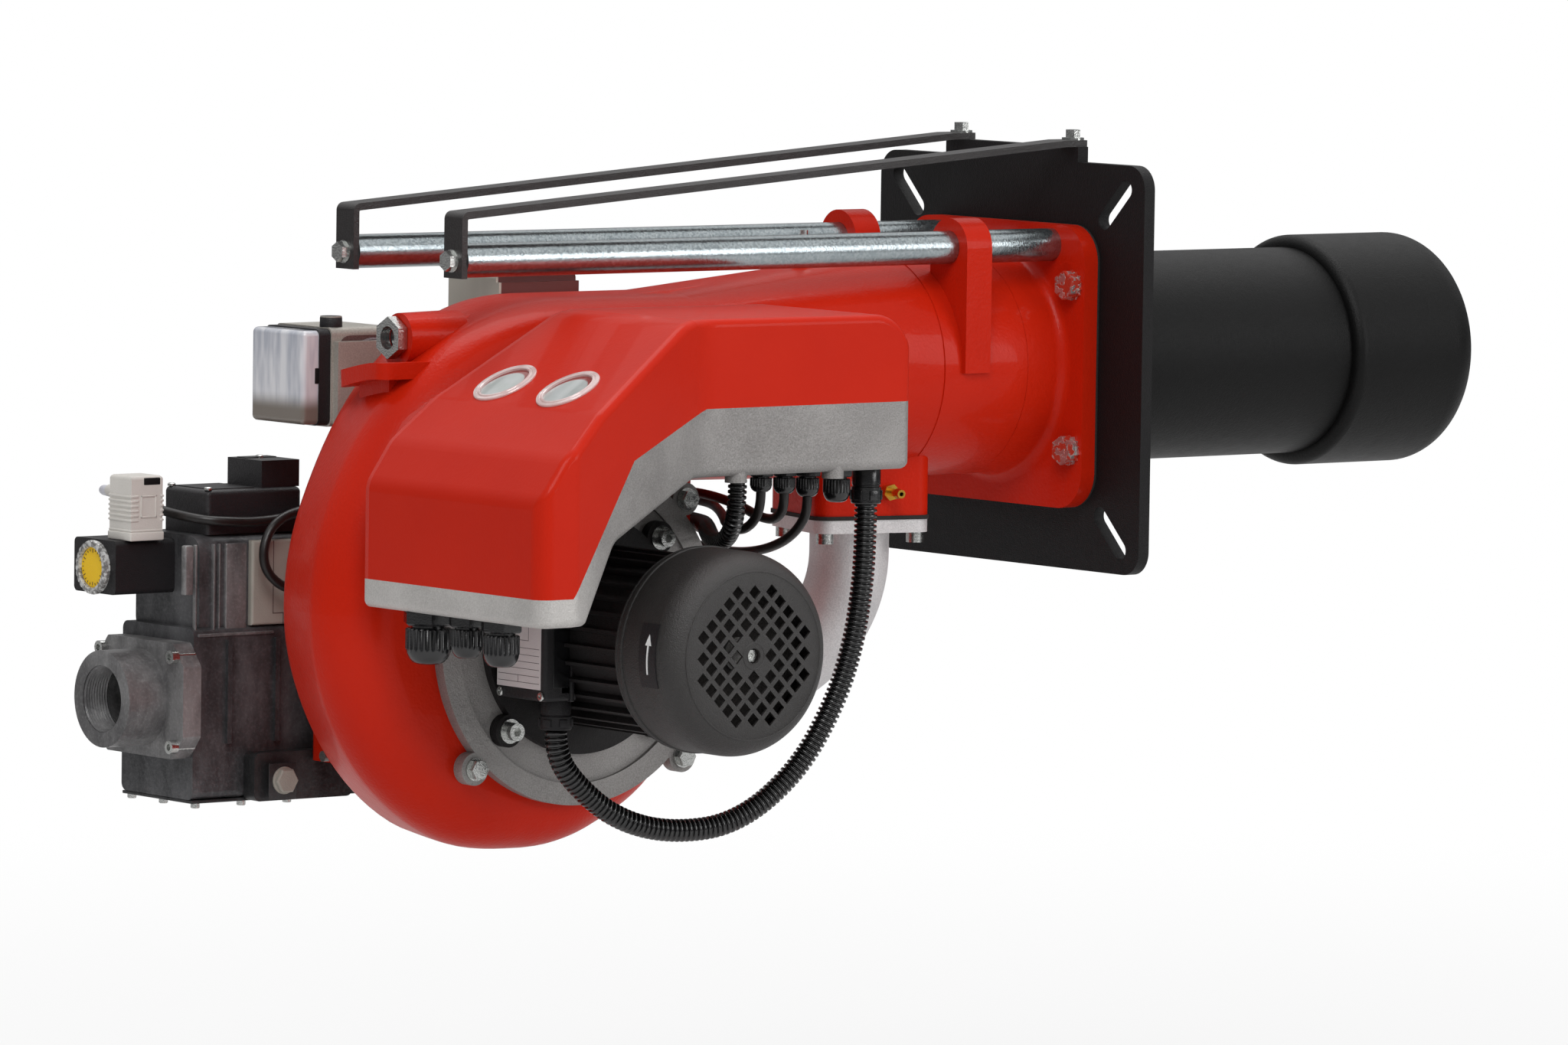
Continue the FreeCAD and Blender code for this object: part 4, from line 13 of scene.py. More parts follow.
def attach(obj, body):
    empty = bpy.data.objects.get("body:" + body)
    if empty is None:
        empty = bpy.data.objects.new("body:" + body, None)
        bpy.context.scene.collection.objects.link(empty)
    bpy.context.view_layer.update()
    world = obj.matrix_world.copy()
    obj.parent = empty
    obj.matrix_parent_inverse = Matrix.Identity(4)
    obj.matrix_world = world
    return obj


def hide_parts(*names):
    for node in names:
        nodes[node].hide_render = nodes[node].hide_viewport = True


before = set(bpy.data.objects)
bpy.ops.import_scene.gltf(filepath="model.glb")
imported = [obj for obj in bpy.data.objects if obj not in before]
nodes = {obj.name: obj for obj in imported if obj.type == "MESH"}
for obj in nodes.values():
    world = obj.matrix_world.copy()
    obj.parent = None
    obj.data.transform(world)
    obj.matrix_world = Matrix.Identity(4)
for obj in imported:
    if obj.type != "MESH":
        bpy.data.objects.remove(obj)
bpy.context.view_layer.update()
MM = 0.001
print("CAD parts:", len(nodes))

# %% [markdown]
# ## The camera
# The photograph was taken from far away with a long lens, a little above the burner and from its
# motor side. A long lens keeps the parallel bars nearly parallel. The camera's own three axes are
# worked out from its heading, its height angle and a slight roll, and its place from its distance.

# %% Set up the camera
HEADING, LOOK_DOWN, ROLL = math.radians(-38.2), math.radians(4.55), math.radians(0.84)
DISTANCE, ACROSS, UPWARD = 8.0, -0.1706, -0.1239
SENSOR, LENS = 36.0, 13722 / 2048 * 36.0


def add_object(name, data):
    """Put an object with this data into the scene."""
    made = bpy.data.objects.new(name, data)
    bpy.context.collection.objects.link(made)
    return made


camera_back = Vector((math.sin(HEADING) * math.cos(LOOK_DOWN),
                      -math.cos(HEADING) * math.cos(LOOK_DOWN), math.sin(LOOK_DOWN)))
camera_side = (-camera_back).cross(Vector((0, 0, 1))).normalized()
camera_top = camera_side.cross(-camera_back)
rolled_side = camera_side * math.cos(ROLL) + camera_top * math.sin(ROLL)
rolled_top = camera_top * math.cos(ROLL) - camera_side * math.sin(ROLL)
camera_data = bpy.data.cameras.new("studio_camera")
camera_data.sensor_width, camera_data.lens = SENSOR, LENS
camera_data.clip_end = 60
camera = add_object("studio_camera", camera_data)
turn = Matrix((rolled_side, rolled_top, camera_back)).transposed().to_4x4()
place = rolled_side * ACROSS + rolled_top * UPWARD + camera_back * DISTANCE - Vector((0.010, 0, 0))
camera.matrix_world = Matrix.Translation(place) @ turn
bpy.context.scene.camera = camera
print("lens %.0f mm, camera at" % LENS, [round(v, 2) for v in place])

# %% [markdown]
# ## Shader arithmetic
# A finish is a small network of nodes. Writing it as arithmetic keeps it readable, so one class
# wraps a socket and turns +, - and * into Math nodes, and one method adds any other node.

# %% Wrap sockets for shader arithmetic
class Value:
    """A socket's value that can be used in arithmetic."""

    def __init__(self, finish, socket):
        self.finish, self.socket = finish, socket

    def math(self, operation, first, second):
        return self.finish.node("ShaderNodeMath", {"operation": operation}, [first, second])

    def __add__(self, other):
        return self.math("ADD", self, other)

    def __radd__(self, other):
        return self.math("ADD", other, self)

    def __sub__(self, other):
        return self.math("SUBTRACT", self, other)

    def __rsub__(self, other):
        return self.math("SUBTRACT", other, self)

    def __mul__(self, other):
        return self.math("MULTIPLY", self, other)

    def __rmul__(self, other):
        return self.math("MULTIPLY", other, self)

    def least(self, other):
        return self.math("MINIMUM", self, other)

    def most(self, other):
        return self.math("MAXIMUM", self, other)

    def above(self, low, high):
        """0 below low and 1 above high, with a smooth step between them."""
        return self.finish.node("ShaderNodeMapRange", {"interpolation_type": "SMOOTHSTEP"},
                                {"Value": self, "From Min": low, "From Max": high})


class Finish:
    """One material: its node tree and its main shader."""

    def __init__(self, name):
        self.material = bpy.data.materials.new(name)
        self.material.use_nodes = True
        self.tree = self.material.node_tree
        self.shader = self.tree.nodes["Principled BSDF"]

    def node(self, kind, settings, values, output=0):
        """Add a node: its settings first, then its sockets by name or in order."""
        made = self.tree.nodes.new(kind)
        for name, value in settings.items():
            setattr(made, name, value)
        pairs = values.items() if isinstance(values, dict) else enumerate(values)
        for key, value in pairs:
            self.plug(made.inputs[key], value)
        return Value(self, made.outputs[output])

    def plug(self, socket, value):
        if isinstance(value, Value):
            self.tree.links.new(value.socket, socket)
        else:
            socket.default_value = value

    def set(self, **sockets):
        """Set the main shader's sockets, written with _ for a space."""
        for name, value in sockets.items():
            self.plug(self.shader.inputs[name.replace("_", " ")], value)

    def place(self):
        """Where a point lies on the object, in metres."""
        return self.node("ShaderNodeTexCoord", {}, {}, "Object")

    def axis(self, letter):
        """One coordinate of that place."""
        return self.node("ShaderNodeSeparateXYZ", {}, [self.place()], letter)

    def noise(self, scale, detail=4.0, roughness=0.55, place=None):
        return self.node("ShaderNodeTexNoise", {}, {
            "Vector": place or self.place(), "Scale": scale, "Detail": detail, "Roughness": roughness})

    def cells(self, scale, output):
        return self.node("ShaderNodeTexVoronoi", {}, {"Vector": self.place(), "Scale": scale}, output)

    def stretched(self, x, y, z):
        """The place with each axis scaled, which draws a noise out along an axis."""
        return self.node("ShaderNodeMapping", {}, {"Vector": self.place(), "Scale": (x, y, z)})

    def blend(self, share, first, second):
        """A colour between first and second."""
        made = self.tree.nodes.new("ShaderNodeMix")
        made.data_type = "RGBA"
        self.plug(made.inputs[0], share)
        self.plug(made.inputs[6], first)
        self.plug(made.inputs[7], second)
        return Value(self, made.outputs[2])

    def bump(self, height, distance, strength=1.0):
        return self.node("ShaderNodeBump", {}, {
            "Height": height, "Distance": distance, "Strength": strength}, "Normal")


def rgb(red, green, blue):
    """A colour from the 0-255 numbers of a picture, as light values."""
    def light(v):
        v /= 255
        return v / 12.92 if v <= 0.04045 else ((v + 0.055) / 1.055) ** 2.4
    return (light(red), light(green), light(blue), 1.0)


def dress(finish, *names):
    """Give CAD parts one finish."""
    for name in names:
        slots = nodes[name].data.materials
        slots.clear()
        slots.append(finish.material)
    print(finish.material.name, "on", ", ".join(names))


# %% [markdown]
# ## Black coats and mouldings
# The plate, the blast tube, the flame head and the straps have a satin black coat with a fine
# powdery grain. The motor's cover is a warmer, greyer moulding, and glands, conduit and cable
# jackets are glossier black plastics. One recipe makes them all: a cloud and a grain in the colour,
# and the same grain as bump. It comes first, because the cords need it.

# %% Black recipe
def black_coat(name, dark, pale, rough, grain_depth=0.0005, shine=0.4):
    coat = Finish(name)
    cloud = coat.noise(12.0, 5.0)
    grain = coat.noise(1100.0, 2.0)
    coat.set(Base_Color=coat.blend(cloud * 0.6 + grain * 0.4, dark, pale),
             Roughness=rough + coat.noise(90.0, 4.0) * 0.12, Specular_IOR_Level=shine)
    coat.set(Normal=coat.bump(grain + coat.noise(300.0, 3.0) * 0.6, grain_depth))
    return coat


tube_black = black_coat("heatproof_black", rgb(9, 9, 9), rgb(17, 17, 17), 0.34, 0.0003, 0.16)
plate_black = black_coat("plate_black", rgb(15, 14, 15), rgb(26, 25, 26), 0.4, 0.0005, 0.2)
strap_black = black_coat("strap_black", rgb(26, 22, 22), rgb(38, 34, 34), 0.3, 0.0003, 0.5)
cover_black = black_coat("cover_black", rgb(28, 26, 25), rgb(44, 41, 40), 0.42, 0.0006, 0.6)
motor_black = black_coat("motor_black", rgb(22, 20, 21), rgb(38, 35, 35), 0.45, 0.0005, 0.25)
box_black = black_coat("moulded_black", rgb(22, 21, 23), rgb(36, 34, 36), 0.4, 0.0004, 0.35)
gland_black = black_coat("gland_black", rgb(12, 12, 13), rgb(22, 22, 24), 0.14, 0.0001, 0.7)
conduit_black = black_coat("conduit_black", rgb(9, 9, 10), rgb(18, 17, 18), 0.14, 0.00005, 0.8)
jacket_black = black_coat("jacket_black", rgb(20, 17, 17), rgb(33, 29, 28), 0.3, 0.0001, 0.45)
gasket_black = black_coat("gasket_sheet", rgb(30, 28, 27), rgb(62, 59, 57), 0.75, 0.0006, 0.2)
dress(tube_black, "blast_tube", "flame_head")
dress(plate_black, "mounting_plate")
dress(strap_black, "bar_straps")
dress(motor_black, "motor_flange", "motor_frame", "motor_rear_shield")
dress(box_black, "terminal_box", "terminal_lid", "pressure_switch", "servo_band")
coil_black = black_coat("coil_black", rgb(30, 28, 30), rgb(44, 42, 44), 0.36, 0.0004, 0.4)
dress(coil_black, "valve_coils")
dress(gasket_black, "gas_gasket", "flange_gasket", "cooling_fan")

# %% [markdown]
# ## Cable and conduit routes
# Two ribbed conduits and three plain cables hang from the control hood's glands. Each keeps the
# curve that it took when it was plugged in: straight out of its gland for a little, then down under
# its own weight, then up to where it goes back into the burner. A NURBS curve through the route's
# control points gives that soft line. Its order is set after its points are there.

# %% Route helper
def route_curve(name, points):
    """A smooth open curve whose control points are given in millimetres."""
    curve = bpy.data.curves.new(name, "CURVE")
    curve.dimensions, curve.resolution_u = "3D", 12
    spline = curve.splines.new("NURBS")
    spline.points.add(len(points) - 1)
    for control, point in zip(spline.points, points):
        control.co = (*(Vector(point) * MM), 1.0)
    spline.order_u = 3
    spline.use_endpoint_u = True
    return add_object(name, curve)


# %% Cable helper
CABLE_RADIUS = 3.6


def lay_cable(name, node, points, length, finish):
    """A plain round cable that stands for a CAD node."""
    cable = route_curve(name, points)
    cable.data.bevel_depth, cable.data.bevel_resolution = CABLE_RADIUS * MM, 5
    cable.data.use_fill_caps = True
    cable.data.materials.append(finish.material)
    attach(cable, "housing")
    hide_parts(node)
    print(name, len(points), "points,", length, "mm")


# %% Cable to the damper motor
lay_cable("servo_cable", "cable_a", [
    (-401.5, -197, -73), (-401.5, -197, -84), (-402.5, -190, -96), (-400, -175, -102.5),
    (-393, -153, -103.5), (-382, -130, -100.5), (-366, -108, -99.5), (-348, -80, -97),
    (-334, -52, -94), (-328, -18, -93), (-329, 25, -92), (-336, 62, -84), (-352, 90, -67),
    (-380, 105, -55), (-420, 112, -50), (-462, 115, -46), (-498, 114, -34), (-519, 112, -16),
    (-535, 112, -16)], 529, jacket_black)

# %% [markdown]
# The cable to the pressure switch wears a white sleeve next to its plug. The sleeve lies on the
# cable without a step, so it is a change of colour along the cable, placed by its X coordinate.

# %% Cable to the pressure switch
sleeve_jacket = Finish("sleeved_jacket")
beyond_sleeve = sleeve_jacket.axis("X").above(-0.6565, -0.6555)
smudge = sleeve_jacket.noise(300.0, 3.0)
sleeve_jacket.set(Base_Color=sleeve_jacket.blend(
                      beyond_sleeve, sleeve_jacket.blend(smudge, rgb(196, 196, 206), rgb(216, 216, 224)),
                      sleeve_jacket.blend(smudge, rgb(20, 17, 17), rgb(33, 29, 28))),
                  Roughness=0.32 + smudge * 0.1, Normal=sleeve_jacket.bump(smudge, 0.0001))
lay_cable("switch_cable", "cable_b", [
    (-380, -197, -75), (-380, -197, -84), (-378.5, -190, -92), (-375, -176, -96), (-370, -153, -95),
    (-363, -128, -91), (-355, -97, -88), (-348, -64, -86), (-340, -30, -86.5), (-337.5, 10, -87),
    (-342, 50, -88), (-351, 86, -86), (-366, 118, -84), (-388, 144, -84), (-422, 158, -84),
    (-470, 161, -86.5), (-520, 161, -94), (-548, 160, -104), (-570, 158.5, -111), (-598, 158, -113),
    (-622, 158.5, -112), (-640, 165, -110.5), (-648.5, 185, -108), (-649, 214, -105),
    (-650.5, 240, -100), (-659, 254, -96), (-671, 252, -93), (-676, 238, -92), (-676, 224, -92)],
    761, sleeve_jacket)

# %% Cable to the valve
lay_cable("valve_cable", "cable_c", [
    (-358.6, -197, -78), (-358.6, -197, -89), (-357, -187, -100.5), (-354.5, -170, -111),
    (-351, -145, -119.5), (-346, -115, -125), (-340, -85, -127.5), (-334, -55, -127),
    (-330, -20, -126), (-332, 25, -124), (-340, 70, -117), (-356, 112, -109), (-385, 148, -105),
    (-430, 153.5, -103), (-480, 153.5, -103), (-530, 151.5, -104), (-570, 147.5, -105),
    (-592, 144, -114), (-602, 142, -130), (-601, 141, -147), (-588, 141, -159),
    (-573, 141.5, -163.5), (-561, 142, -165), (-557, 147, -165), (-557, 154.04, -165)],
    682, jacket_black)

# %% [markdown]
# ## Ribbed conduits
# A corrugated conduit is a tube with a raised rib every few millimetres. A plain bevel can't give
# ribs, so the tube is skinned as rings: the route's own curve is read as a fine polyline, the rings
# are carried along it without twisting, and their radius goes in and out once per rib.

# %% Conduit helper
RIB_PITCH, RIB_SIDES = 3.9, 18
RIB_SHAPE = ((0.0, 0.0), (0.36, 0.0), (0.42, 0.85), (0.5, 1.0), (0.86, 1.0), (0.94, 0.85))


def lay_conduit(name, node, points, crest, root):
    """A ribbed tube that stands for a CAD node. Crest and root are its radii in millimetres."""
    guide = route_curve(name + "_guide", points)
    line = bpy.data.meshes.new_from_object(guide)
    path = [vertex.co.copy() for vertex in line.vertices]
    bpy.data.objects.remove(guide)
    reach = [0.0]
    for before, after in zip(path, path[1:]):
        reach.append(reach[-1] + (after - before).length)
    side, verts, faces, index = Vector((0.31, 0.62, 0.72)), [], [], 0
    ribs = int(reach[-1] / (RIB_PITCH * MM))
    for rib in range(ribs):
        for share, height in RIB_SHAPE:
            along = (rib + share) * reach[-1] / ribs
            while reach[index + 1] < along:
                index += 1
            way = (path[index + 1] - path[index]).normalized()
            middle = path[index] + way * (along - reach[index])
            side = (side - way * side.dot(way)).normalized()
            other, radius = way.cross(side), (root + (crest - root) * height) * MM
            verts += [middle + (side * math.cos(a) + other * math.sin(a)) * radius
                      for a in (math.tau * i / RIB_SIDES for i in range(RIB_SIDES))]
    last = len(verts) - RIB_SIDES
    for start in range(0, last, RIB_SIDES):
        for i in range(RIB_SIDES):
            j = (i + 1) % RIB_SIDES
            faces.append([start + i, start + j, start + RIB_SIDES + j, start + RIB_SIDES + i])
    faces += [list(range(RIB_SIDES))[::-1], [last + i for i in range(RIB_SIDES)]]
    mesh = bpy.data.meshes.new(name)
    mesh.from_pydata(verts, [], faces)
    mesh.polygons.foreach_set("use_smooth", [True] * len(mesh.polygons))
    mesh.materials.append(conduit_black.material)
    tube = add_object(name, mesh)
    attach(tube, "housing")
    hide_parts(node)
    print(name, ribs, "ribs")


# %% Lay both conduits
lay_conduit("ribbed_motor_conduit", "motor_conduit", [
    (-538, -135, -244.6), (-538, -135, -262), (-522, -135.5, -284), (-489, -140, -311),
    (-446, -148, -324), (-390.4, -158, -320), (-343.7, -170, -283.5), (-316.9, -180, -233.4),
    (-306.2, -188, -188.2), (-303.3, -194, -142.9), (-304, -197, -108), (-304, -197, -85)],
    8.4, 6.5)
lay_conduit("ribbed_loom_conduit", "loom_conduit", [
    (-423, -197, -58), (-423, -197, -77), (-421.5, -192, -94), (-416, -178, -107), (-407, -156, -113),
    (-394, -130, -113), (-375, -101, -110), (-356, -74, -109), (-339, -48, -109), (-331, -8, -108.5),
    (-331, 40, -107), (-330, 80, -98), (-335, 108, -72), (-347, 121, -38), (-376, 117, -12),
    (-377, 114, 3), (-377, 114, 22)], 6.9, 5.4)

# %% [markdown]
# ## Red paint on the castings
# The blower housing is sand cast and coated with glossy orange-red powder paint. The coat follows
# the casting's soft waves, so a slow noise bends the reflections and a fine one gives the orange
# peel. The colour is a little deeper in patches, as on any thick coat.

# %% Red powder paint
def red_paint(name, peel, gloss):
    paint = Finish(name)
    patches = paint.noise(9.0, 3.0)
    paint.set(Base_Color=paint.blend(patches, rgb(186, 30, 10), rgb(200, 38, 14)),
              Roughness=gloss + paint.noise(160.0, 2.0) * 0.06,
              Coat_Weight=0.08, Coat_Roughness=0.05, Specular_IOR_Level=0.08)
    peel_height = paint.noise(420.0, 2.0) * 0.5 + paint.noise(38.0, 3.0) * 1.0
    paint.set(Normal=paint.bump(peel_height, peel))
    return paint


cast_red = red_paint("cast_red_paint", 0.0006, 0.3)
dress(cast_red, "fixed_flange", "air_intake")
smooth_red = red_paint("smooth_red_paint", 0.0002, 0.36)
dress(smooth_red, "hood_cover")

# %% [markdown]
# ## Bare castings
# The hood's base, the motor ring and the gas elbow are bare die-cast aluminium: a mid grey with a
# fine grain of blasted pits. A fast noise gives the pits, and a slow one clouds the brightness.

# %% Blasted aluminium
def cast_metal(name, dark, pale, pit, metal=0.5, rough=0.42):
    skin = Finish(name)
    grain = skin.noise(900.0, 2.0)
    tone = skin.noise(14.0, 5.0, 0.6) * 0.5 + grain * 0.5
    skin.set(Base_Color=skin.blend(tone.above(0.3, 0.7), dark, pale), Metallic=metal,
             Roughness=rough + skin.noise(60.0, 4.0) * 0.16)
    skin.set(Normal=skin.bump(grain * 0.6 + skin.noise(260.0, 3.0), pit))
    return skin


blasted = cast_metal("blasted_aluminium", rgb(128, 125, 123), rgb(166, 163, 161), 0.0005, 0.45, 0.46)
dress(blasted, "motor_ring", "motor_plate")
elbow_skin = cast_metal("cast_elbow", rgb(196, 193, 194), rgb(228, 225, 225), 0.0004, 0.3, 0.4)
dress(elbow_skin, "gas_elbow")
servo_case = cast_metal("damper_motor_case", rgb(158, 154, 146), rgb(188, 184, 176), 0.0003, 0.3, 0.4)
dress(servo_case, "servo_body")

# %% [markdown]
# The hood's base ends in a thin slab that closes the cover from behind. Above the seam its edge is
# painted like the cover. The seam runs level, slopes down twice and ends level, so the lesser of its
# upper lines, and the greater of that and its last line, give its height at any X coordinate.

# %% Hood base, red above the seam
base_skin = Finish("hood_base_skin")
base_x, base_y, base_z = (base_skin.axis(letter) for letter in "XYZ")
SEAM_FRONT, SEAM_REAR = -0.0085, -0.133
upper_slope, lower_slope = (base_x + 0.480) * 0.3387 + SEAM_FRONT, (base_x + 0.573) * 1.24 - 0.040
seam_height = upper_slope.least(SEAM_FRONT).least(lower_slope).most(SEAM_REAR)
painted = (base_z - seam_height).above(-0.0002, 0.0002) * base_y.above(-0.0943, -0.0941)
pits = base_skin.noise(900.0, 2.0)
base_tone = (base_skin.noise(14.0, 5.0, 0.6) * 0.5 + pits * 0.5).above(0.3, 0.7)
# Painted light: the bare base's rear end is painted paler, as lit, and its front darker, as shaded.
painted_light_rear = 1 - base_x.above(-0.655, -0.61)
base_front_shaded = base_skin.blend(base_tone, rgb(124, 121, 119), rgb(160, 157, 155))
base_rear_lit = base_skin.blend(base_tone, rgb(176, 173, 170), rgb(206, 203, 200))
base_bare = base_skin.blend(painted_light_rear, base_front_shaded, base_rear_lit)
base_skin.set(Base_Color=base_skin.blend(painted, base_bare, rgb(193, 34, 12)),
              Metallic=(1 - painted) * 0.4, Roughness=0.44 + base_tone * 0.1,
              Normal=base_skin.bump(pits * 0.6 + base_skin.noise(260.0, 3.0), 0.0005))
dress(base_skin, "hood_base")

# %% [markdown]
# ## Die-cast valve metal
# The gas valve is smooth die-cast metal with cloudy dark stains and bright worn edges. Its
# reflections are broad, and the stains come from noise that is stretched along the die's draw.

# %% Stained die casting
def stained_metal(name, dark, pale):
    skin = Finish(name)
    stain = skin.noise(26.0, 7.0, 0.62, skin.stretched(1.0, 1.0, 0.45)).above(0.34, 0.7)
    fleck = skin.noise(420.0, 3.0).above(0.45, 0.75)
    skin.set(Base_Color=skin.blend(stain * 0.75 + fleck * 0.25, dark, pale), Metallic=0.35,
             Roughness=0.3 + stain * 0.16, Specular_IOR_Level=0.3,
             Normal=skin.bump(stain * 0.5 + skin.noise(240.0, 4.0), 0.0004))
    return skin


die_cast = stained_metal("stained_die_casting", rgb(58, 58, 60), rgb(112, 112, 114))
dress(die_cast, "gas_valve_body")
pale_cast = stained_metal("pale_die_casting", rgb(92, 91, 92), rgb(160, 159, 159))
dress(pale_cast, "gas_inlet_flange")
dark_cast = stained_metal("dark_die_casting", rgb(40, 40, 41), rgb(76, 76, 77))
dress(dark_cast, "valve_test_block")

# %% [markdown]
# ## Zinc
# Bars and screws are zinc plated. On the bars the plating shows a fine spangle of pale and darker
# grains along a bluish mirror, which cells of different brightness give. On the flange bolts a noise
# mask lays red over part of their zinc: partly the red coat that they caught, partly painted
# reflection of the red flange around them.

# %% Zinc plating
def zinc_plate(name, spangle, rough, dark, pale):
    zinc = Finish(name)
    tone = zinc.node("ShaderNodeSeparateColor", {}, {"Color": zinc.cells(spangle, "Color")}, "Red")
    zinc.set(Base_Color=zinc.blend(tone * 0.5 + zinc.noise(30.0, 4.0) * 0.5, dark, pale),
             Metallic=0.95, Roughness=rough + tone * 0.1,
             Normal=zinc.bump(zinc.noise(700.0, 3.0), 0.00015))
    return zinc


bar_zinc = zinc_plate("bar_zinc", 700.0, 0.16, rgb(128, 138, 142), rgb(186, 194, 196))
dress(bar_zinc, "slide_bars")
bolt_zinc = zinc_plate("bolt_zinc", 900.0, 0.16, rgb(168, 170, 168), rgb(222, 223, 220))
dress(bolt_zinc, "strap_bolts", "ring_screws", "motor_flange_screws", "elbow_screws",
      "inlet_flange_screws", "sight_glass_nut")

# %% Bolts with red coat and painted red reflection, and the two nipples
# Red over part of the flange bolts: partly the red coat they caught, partly painted reflection of the red
# flange.
red_coat_and_reflection_zinc = Finish("red_coat_and_reflection_zinc")
bare_zinc_share = red_coat_and_reflection_zinc.noise(190.0, 4.0).above(0.47, 0.53)
red_coat_and_reflection_zinc.set(Base_Color=red_coat_and_reflection_zinc.blend(bare_zinc_share, rgb(176, 52, 36), rgb(205, 204, 202)),
                 Metallic=bare_zinc_share * 0.9, Roughness=0.24 + red_coat_and_reflection_zinc.noise(400.0) * 0.12,
                 Normal=red_coat_and_reflection_zinc.bump(bare_zinc_share, 0.0003))
dress(red_coat_and_reflection_zinc, "flange_bolts")
nipple_metal = Finish("nipple_metal")
upper_nipple = nipple_metal.axis("Z").above(-0.01, 0.01)
nipple_metal.set(Base_Color=nipple_metal.blend(upper_nipple, rgb(214, 168, 70), rgb(196, 192, 190)),
                 Metallic=0.95, Roughness=0.18 + nipple_metal.noise(300.0) * 0.12)
dress(nipple_metal, "air_test_nipple")

# %% [markdown]
# ## Small plastics and inner steel
# Mouldings get a barely uneven colour and a fine bump. The transformer's rear end is bare grey
# and its sides are dark red: partly the case's own colour, partly painted shade with red bounce light
# from the housing beside them, so its colour changes with the X coordinate.

# %% Mouldings
def plastic(name, dark, pale, rough, shine=0.4):
    moulding = Finish(name)
    moulding.set(Base_Color=moulding.blend(moulding.noise(40.0, 3.0), dark, pale),
                 Roughness=rough + moulding.noise(200.0, 3.0) * 0.1, Specular_IOR_Level=shine,
                 Normal=moulding.bump(moulding.noise(900.0, 2.0), 0.0002))
    return moulding


plug_grey = plastic("plug_grey", rgb(208, 204, 198), rgb(226, 222, 216), 0.42)
dress(plug_grey, "switch_plug")
dial_yellow = plastic("dial_yellow", rgb(240, 190, 14), rgb(248, 206, 34), 0.35)
dress(dial_yellow, "pressure_dial")
cover_grey = plastic("side_cover_grey", rgb(150, 145, 136), rgb(172, 167, 158), 0.5)
dress(cover_grey, "valve_side_cover")
label_white = plastic("label_white", rgb(206, 196, 196), rgb(224, 216, 216), 0.3)
print_white = plastic("print_white", rgb(226, 226, 226), rgb(240, 240, 240), 0.45)
print_dark = plastic("print_dark", rgb(70, 58, 58), rgb(90, 76, 76), 0.5)
slot_dark = plastic("slot_dark", rgb(14, 13, 14), rgb(24, 22, 23), 0.6, 0.2)
brass = zinc_plate("screw_brass", 900.0, 0.2, rgb(188, 132, 42), rgb(232, 180, 88))
panel_brown = cast_metal("servo_panel", rgb(92, 70, 68), rgb(124, 102, 100), 0.0003, 0.4, 0.36)
disc_grey = cast_metal("servo_disc", rgb(128, 124, 130), rgb(176, 172, 178), 0.0004, 0.6, 0.34)

# The transformer's sides are dark red: partly its own colour, partly painted shade and red bounce light from
# the housing.
case = Finish("transformer_case")
red_shade_sides = case.axis("X").above(-0.4385, -0.4375)
streak = case.noise(40.0, 4.0, 0.6, case.stretched(1.0, 1.0, 0.2))
case.set(Base_Color=case.blend(red_shade_sides, case.blend(streak, rgb(192, 189, 178), rgb(212, 209, 198)),
                               case.blend(streak, rgb(98, 40, 36), rgb(116, 52, 47))),
         Metallic=(1 - red_shade_sides) * 0.5, Roughness=0.36 + streak * 0.1, Normal=case.bump(streak, 0.0002))
dress(case, "ignition_transformer")
steel = cast_metal("inner_steel", rgb(108, 106, 104), rgb(150, 148, 145), 0.0002, 0.85, 0.35)
dress(steel, "motor_stator", "motor_bearings", "motor_shaft", "blower_wheel", "air_damper", "gas_head_pipe",
      "swirl_plate", "ignition_electrodes")

# %% [markdown]
# ## Glass and clear plastic
# The sight glass is dark because the housing behind it is dark. The damper motor's clear cover
# carries a painted highlight, pale bluish-white streaks on its upper part, and darkens to brown near
# its foot, so its colour runs with height. Both stay opaque, with a glossy coat over the colour.

# %% Dark glass and the cover over the damper motor's scale
dark_glass = Finish("dark_glass")
dark_glass.set(Base_Color=dark_glass.blend(dark_glass.noise(90.0), rgb(34, 38, 42), rgb(66, 70, 74)),
               Roughness=0.1 + dark_glass.noise(30.0) * 0.05, Coat_Weight=0.4, Coat_Roughness=0.04)
dress(dark_glass, "sight_glass_pane")
scale_cover = Finish("scale_cover")
# Painted highlight: the upper part is pale bluish-white with streaks; lower down it darkens to brown.
painted_highlight_height = scale_cover.axis("Z").above(-0.026, -0.012)
highlight_streaks = scale_cover.noise(60.0, 3.0, 0.6, scale_cover.stretched(1.0, 1.0, 0.16)).above(0.35, 0.65)
scale_cover.set(Base_Color=scale_cover.blend(painted_highlight_height, rgb(120, 112, 104), scale_cover.blend(
                    highlight_streaks, rgb(170, 174, 186), rgb(224, 224, 228))),
                Roughness=0.12 + highlight_streaks * 0.08, Coat_Weight=0.5, Coat_Roughness=0.05)
dress(scale_cover, "servo_cover")

# %% [markdown]
# ## Building small pieces
# Glands, rings and screws are turned parts: a profile of radius and height is carried round an axis,
# and a list of factors can give it ribs. Plates and boxes are blocks with rounded edges. Both give
# vertices and faces, and one helper joins such shapes into a piece that rides on a body.

# %% Turned shapes and rounded blocks
DOWN, TOWARD_VIEWER, REARWARD = (0, 0, -1), (0, -1, 0), (-1, 0, 0)


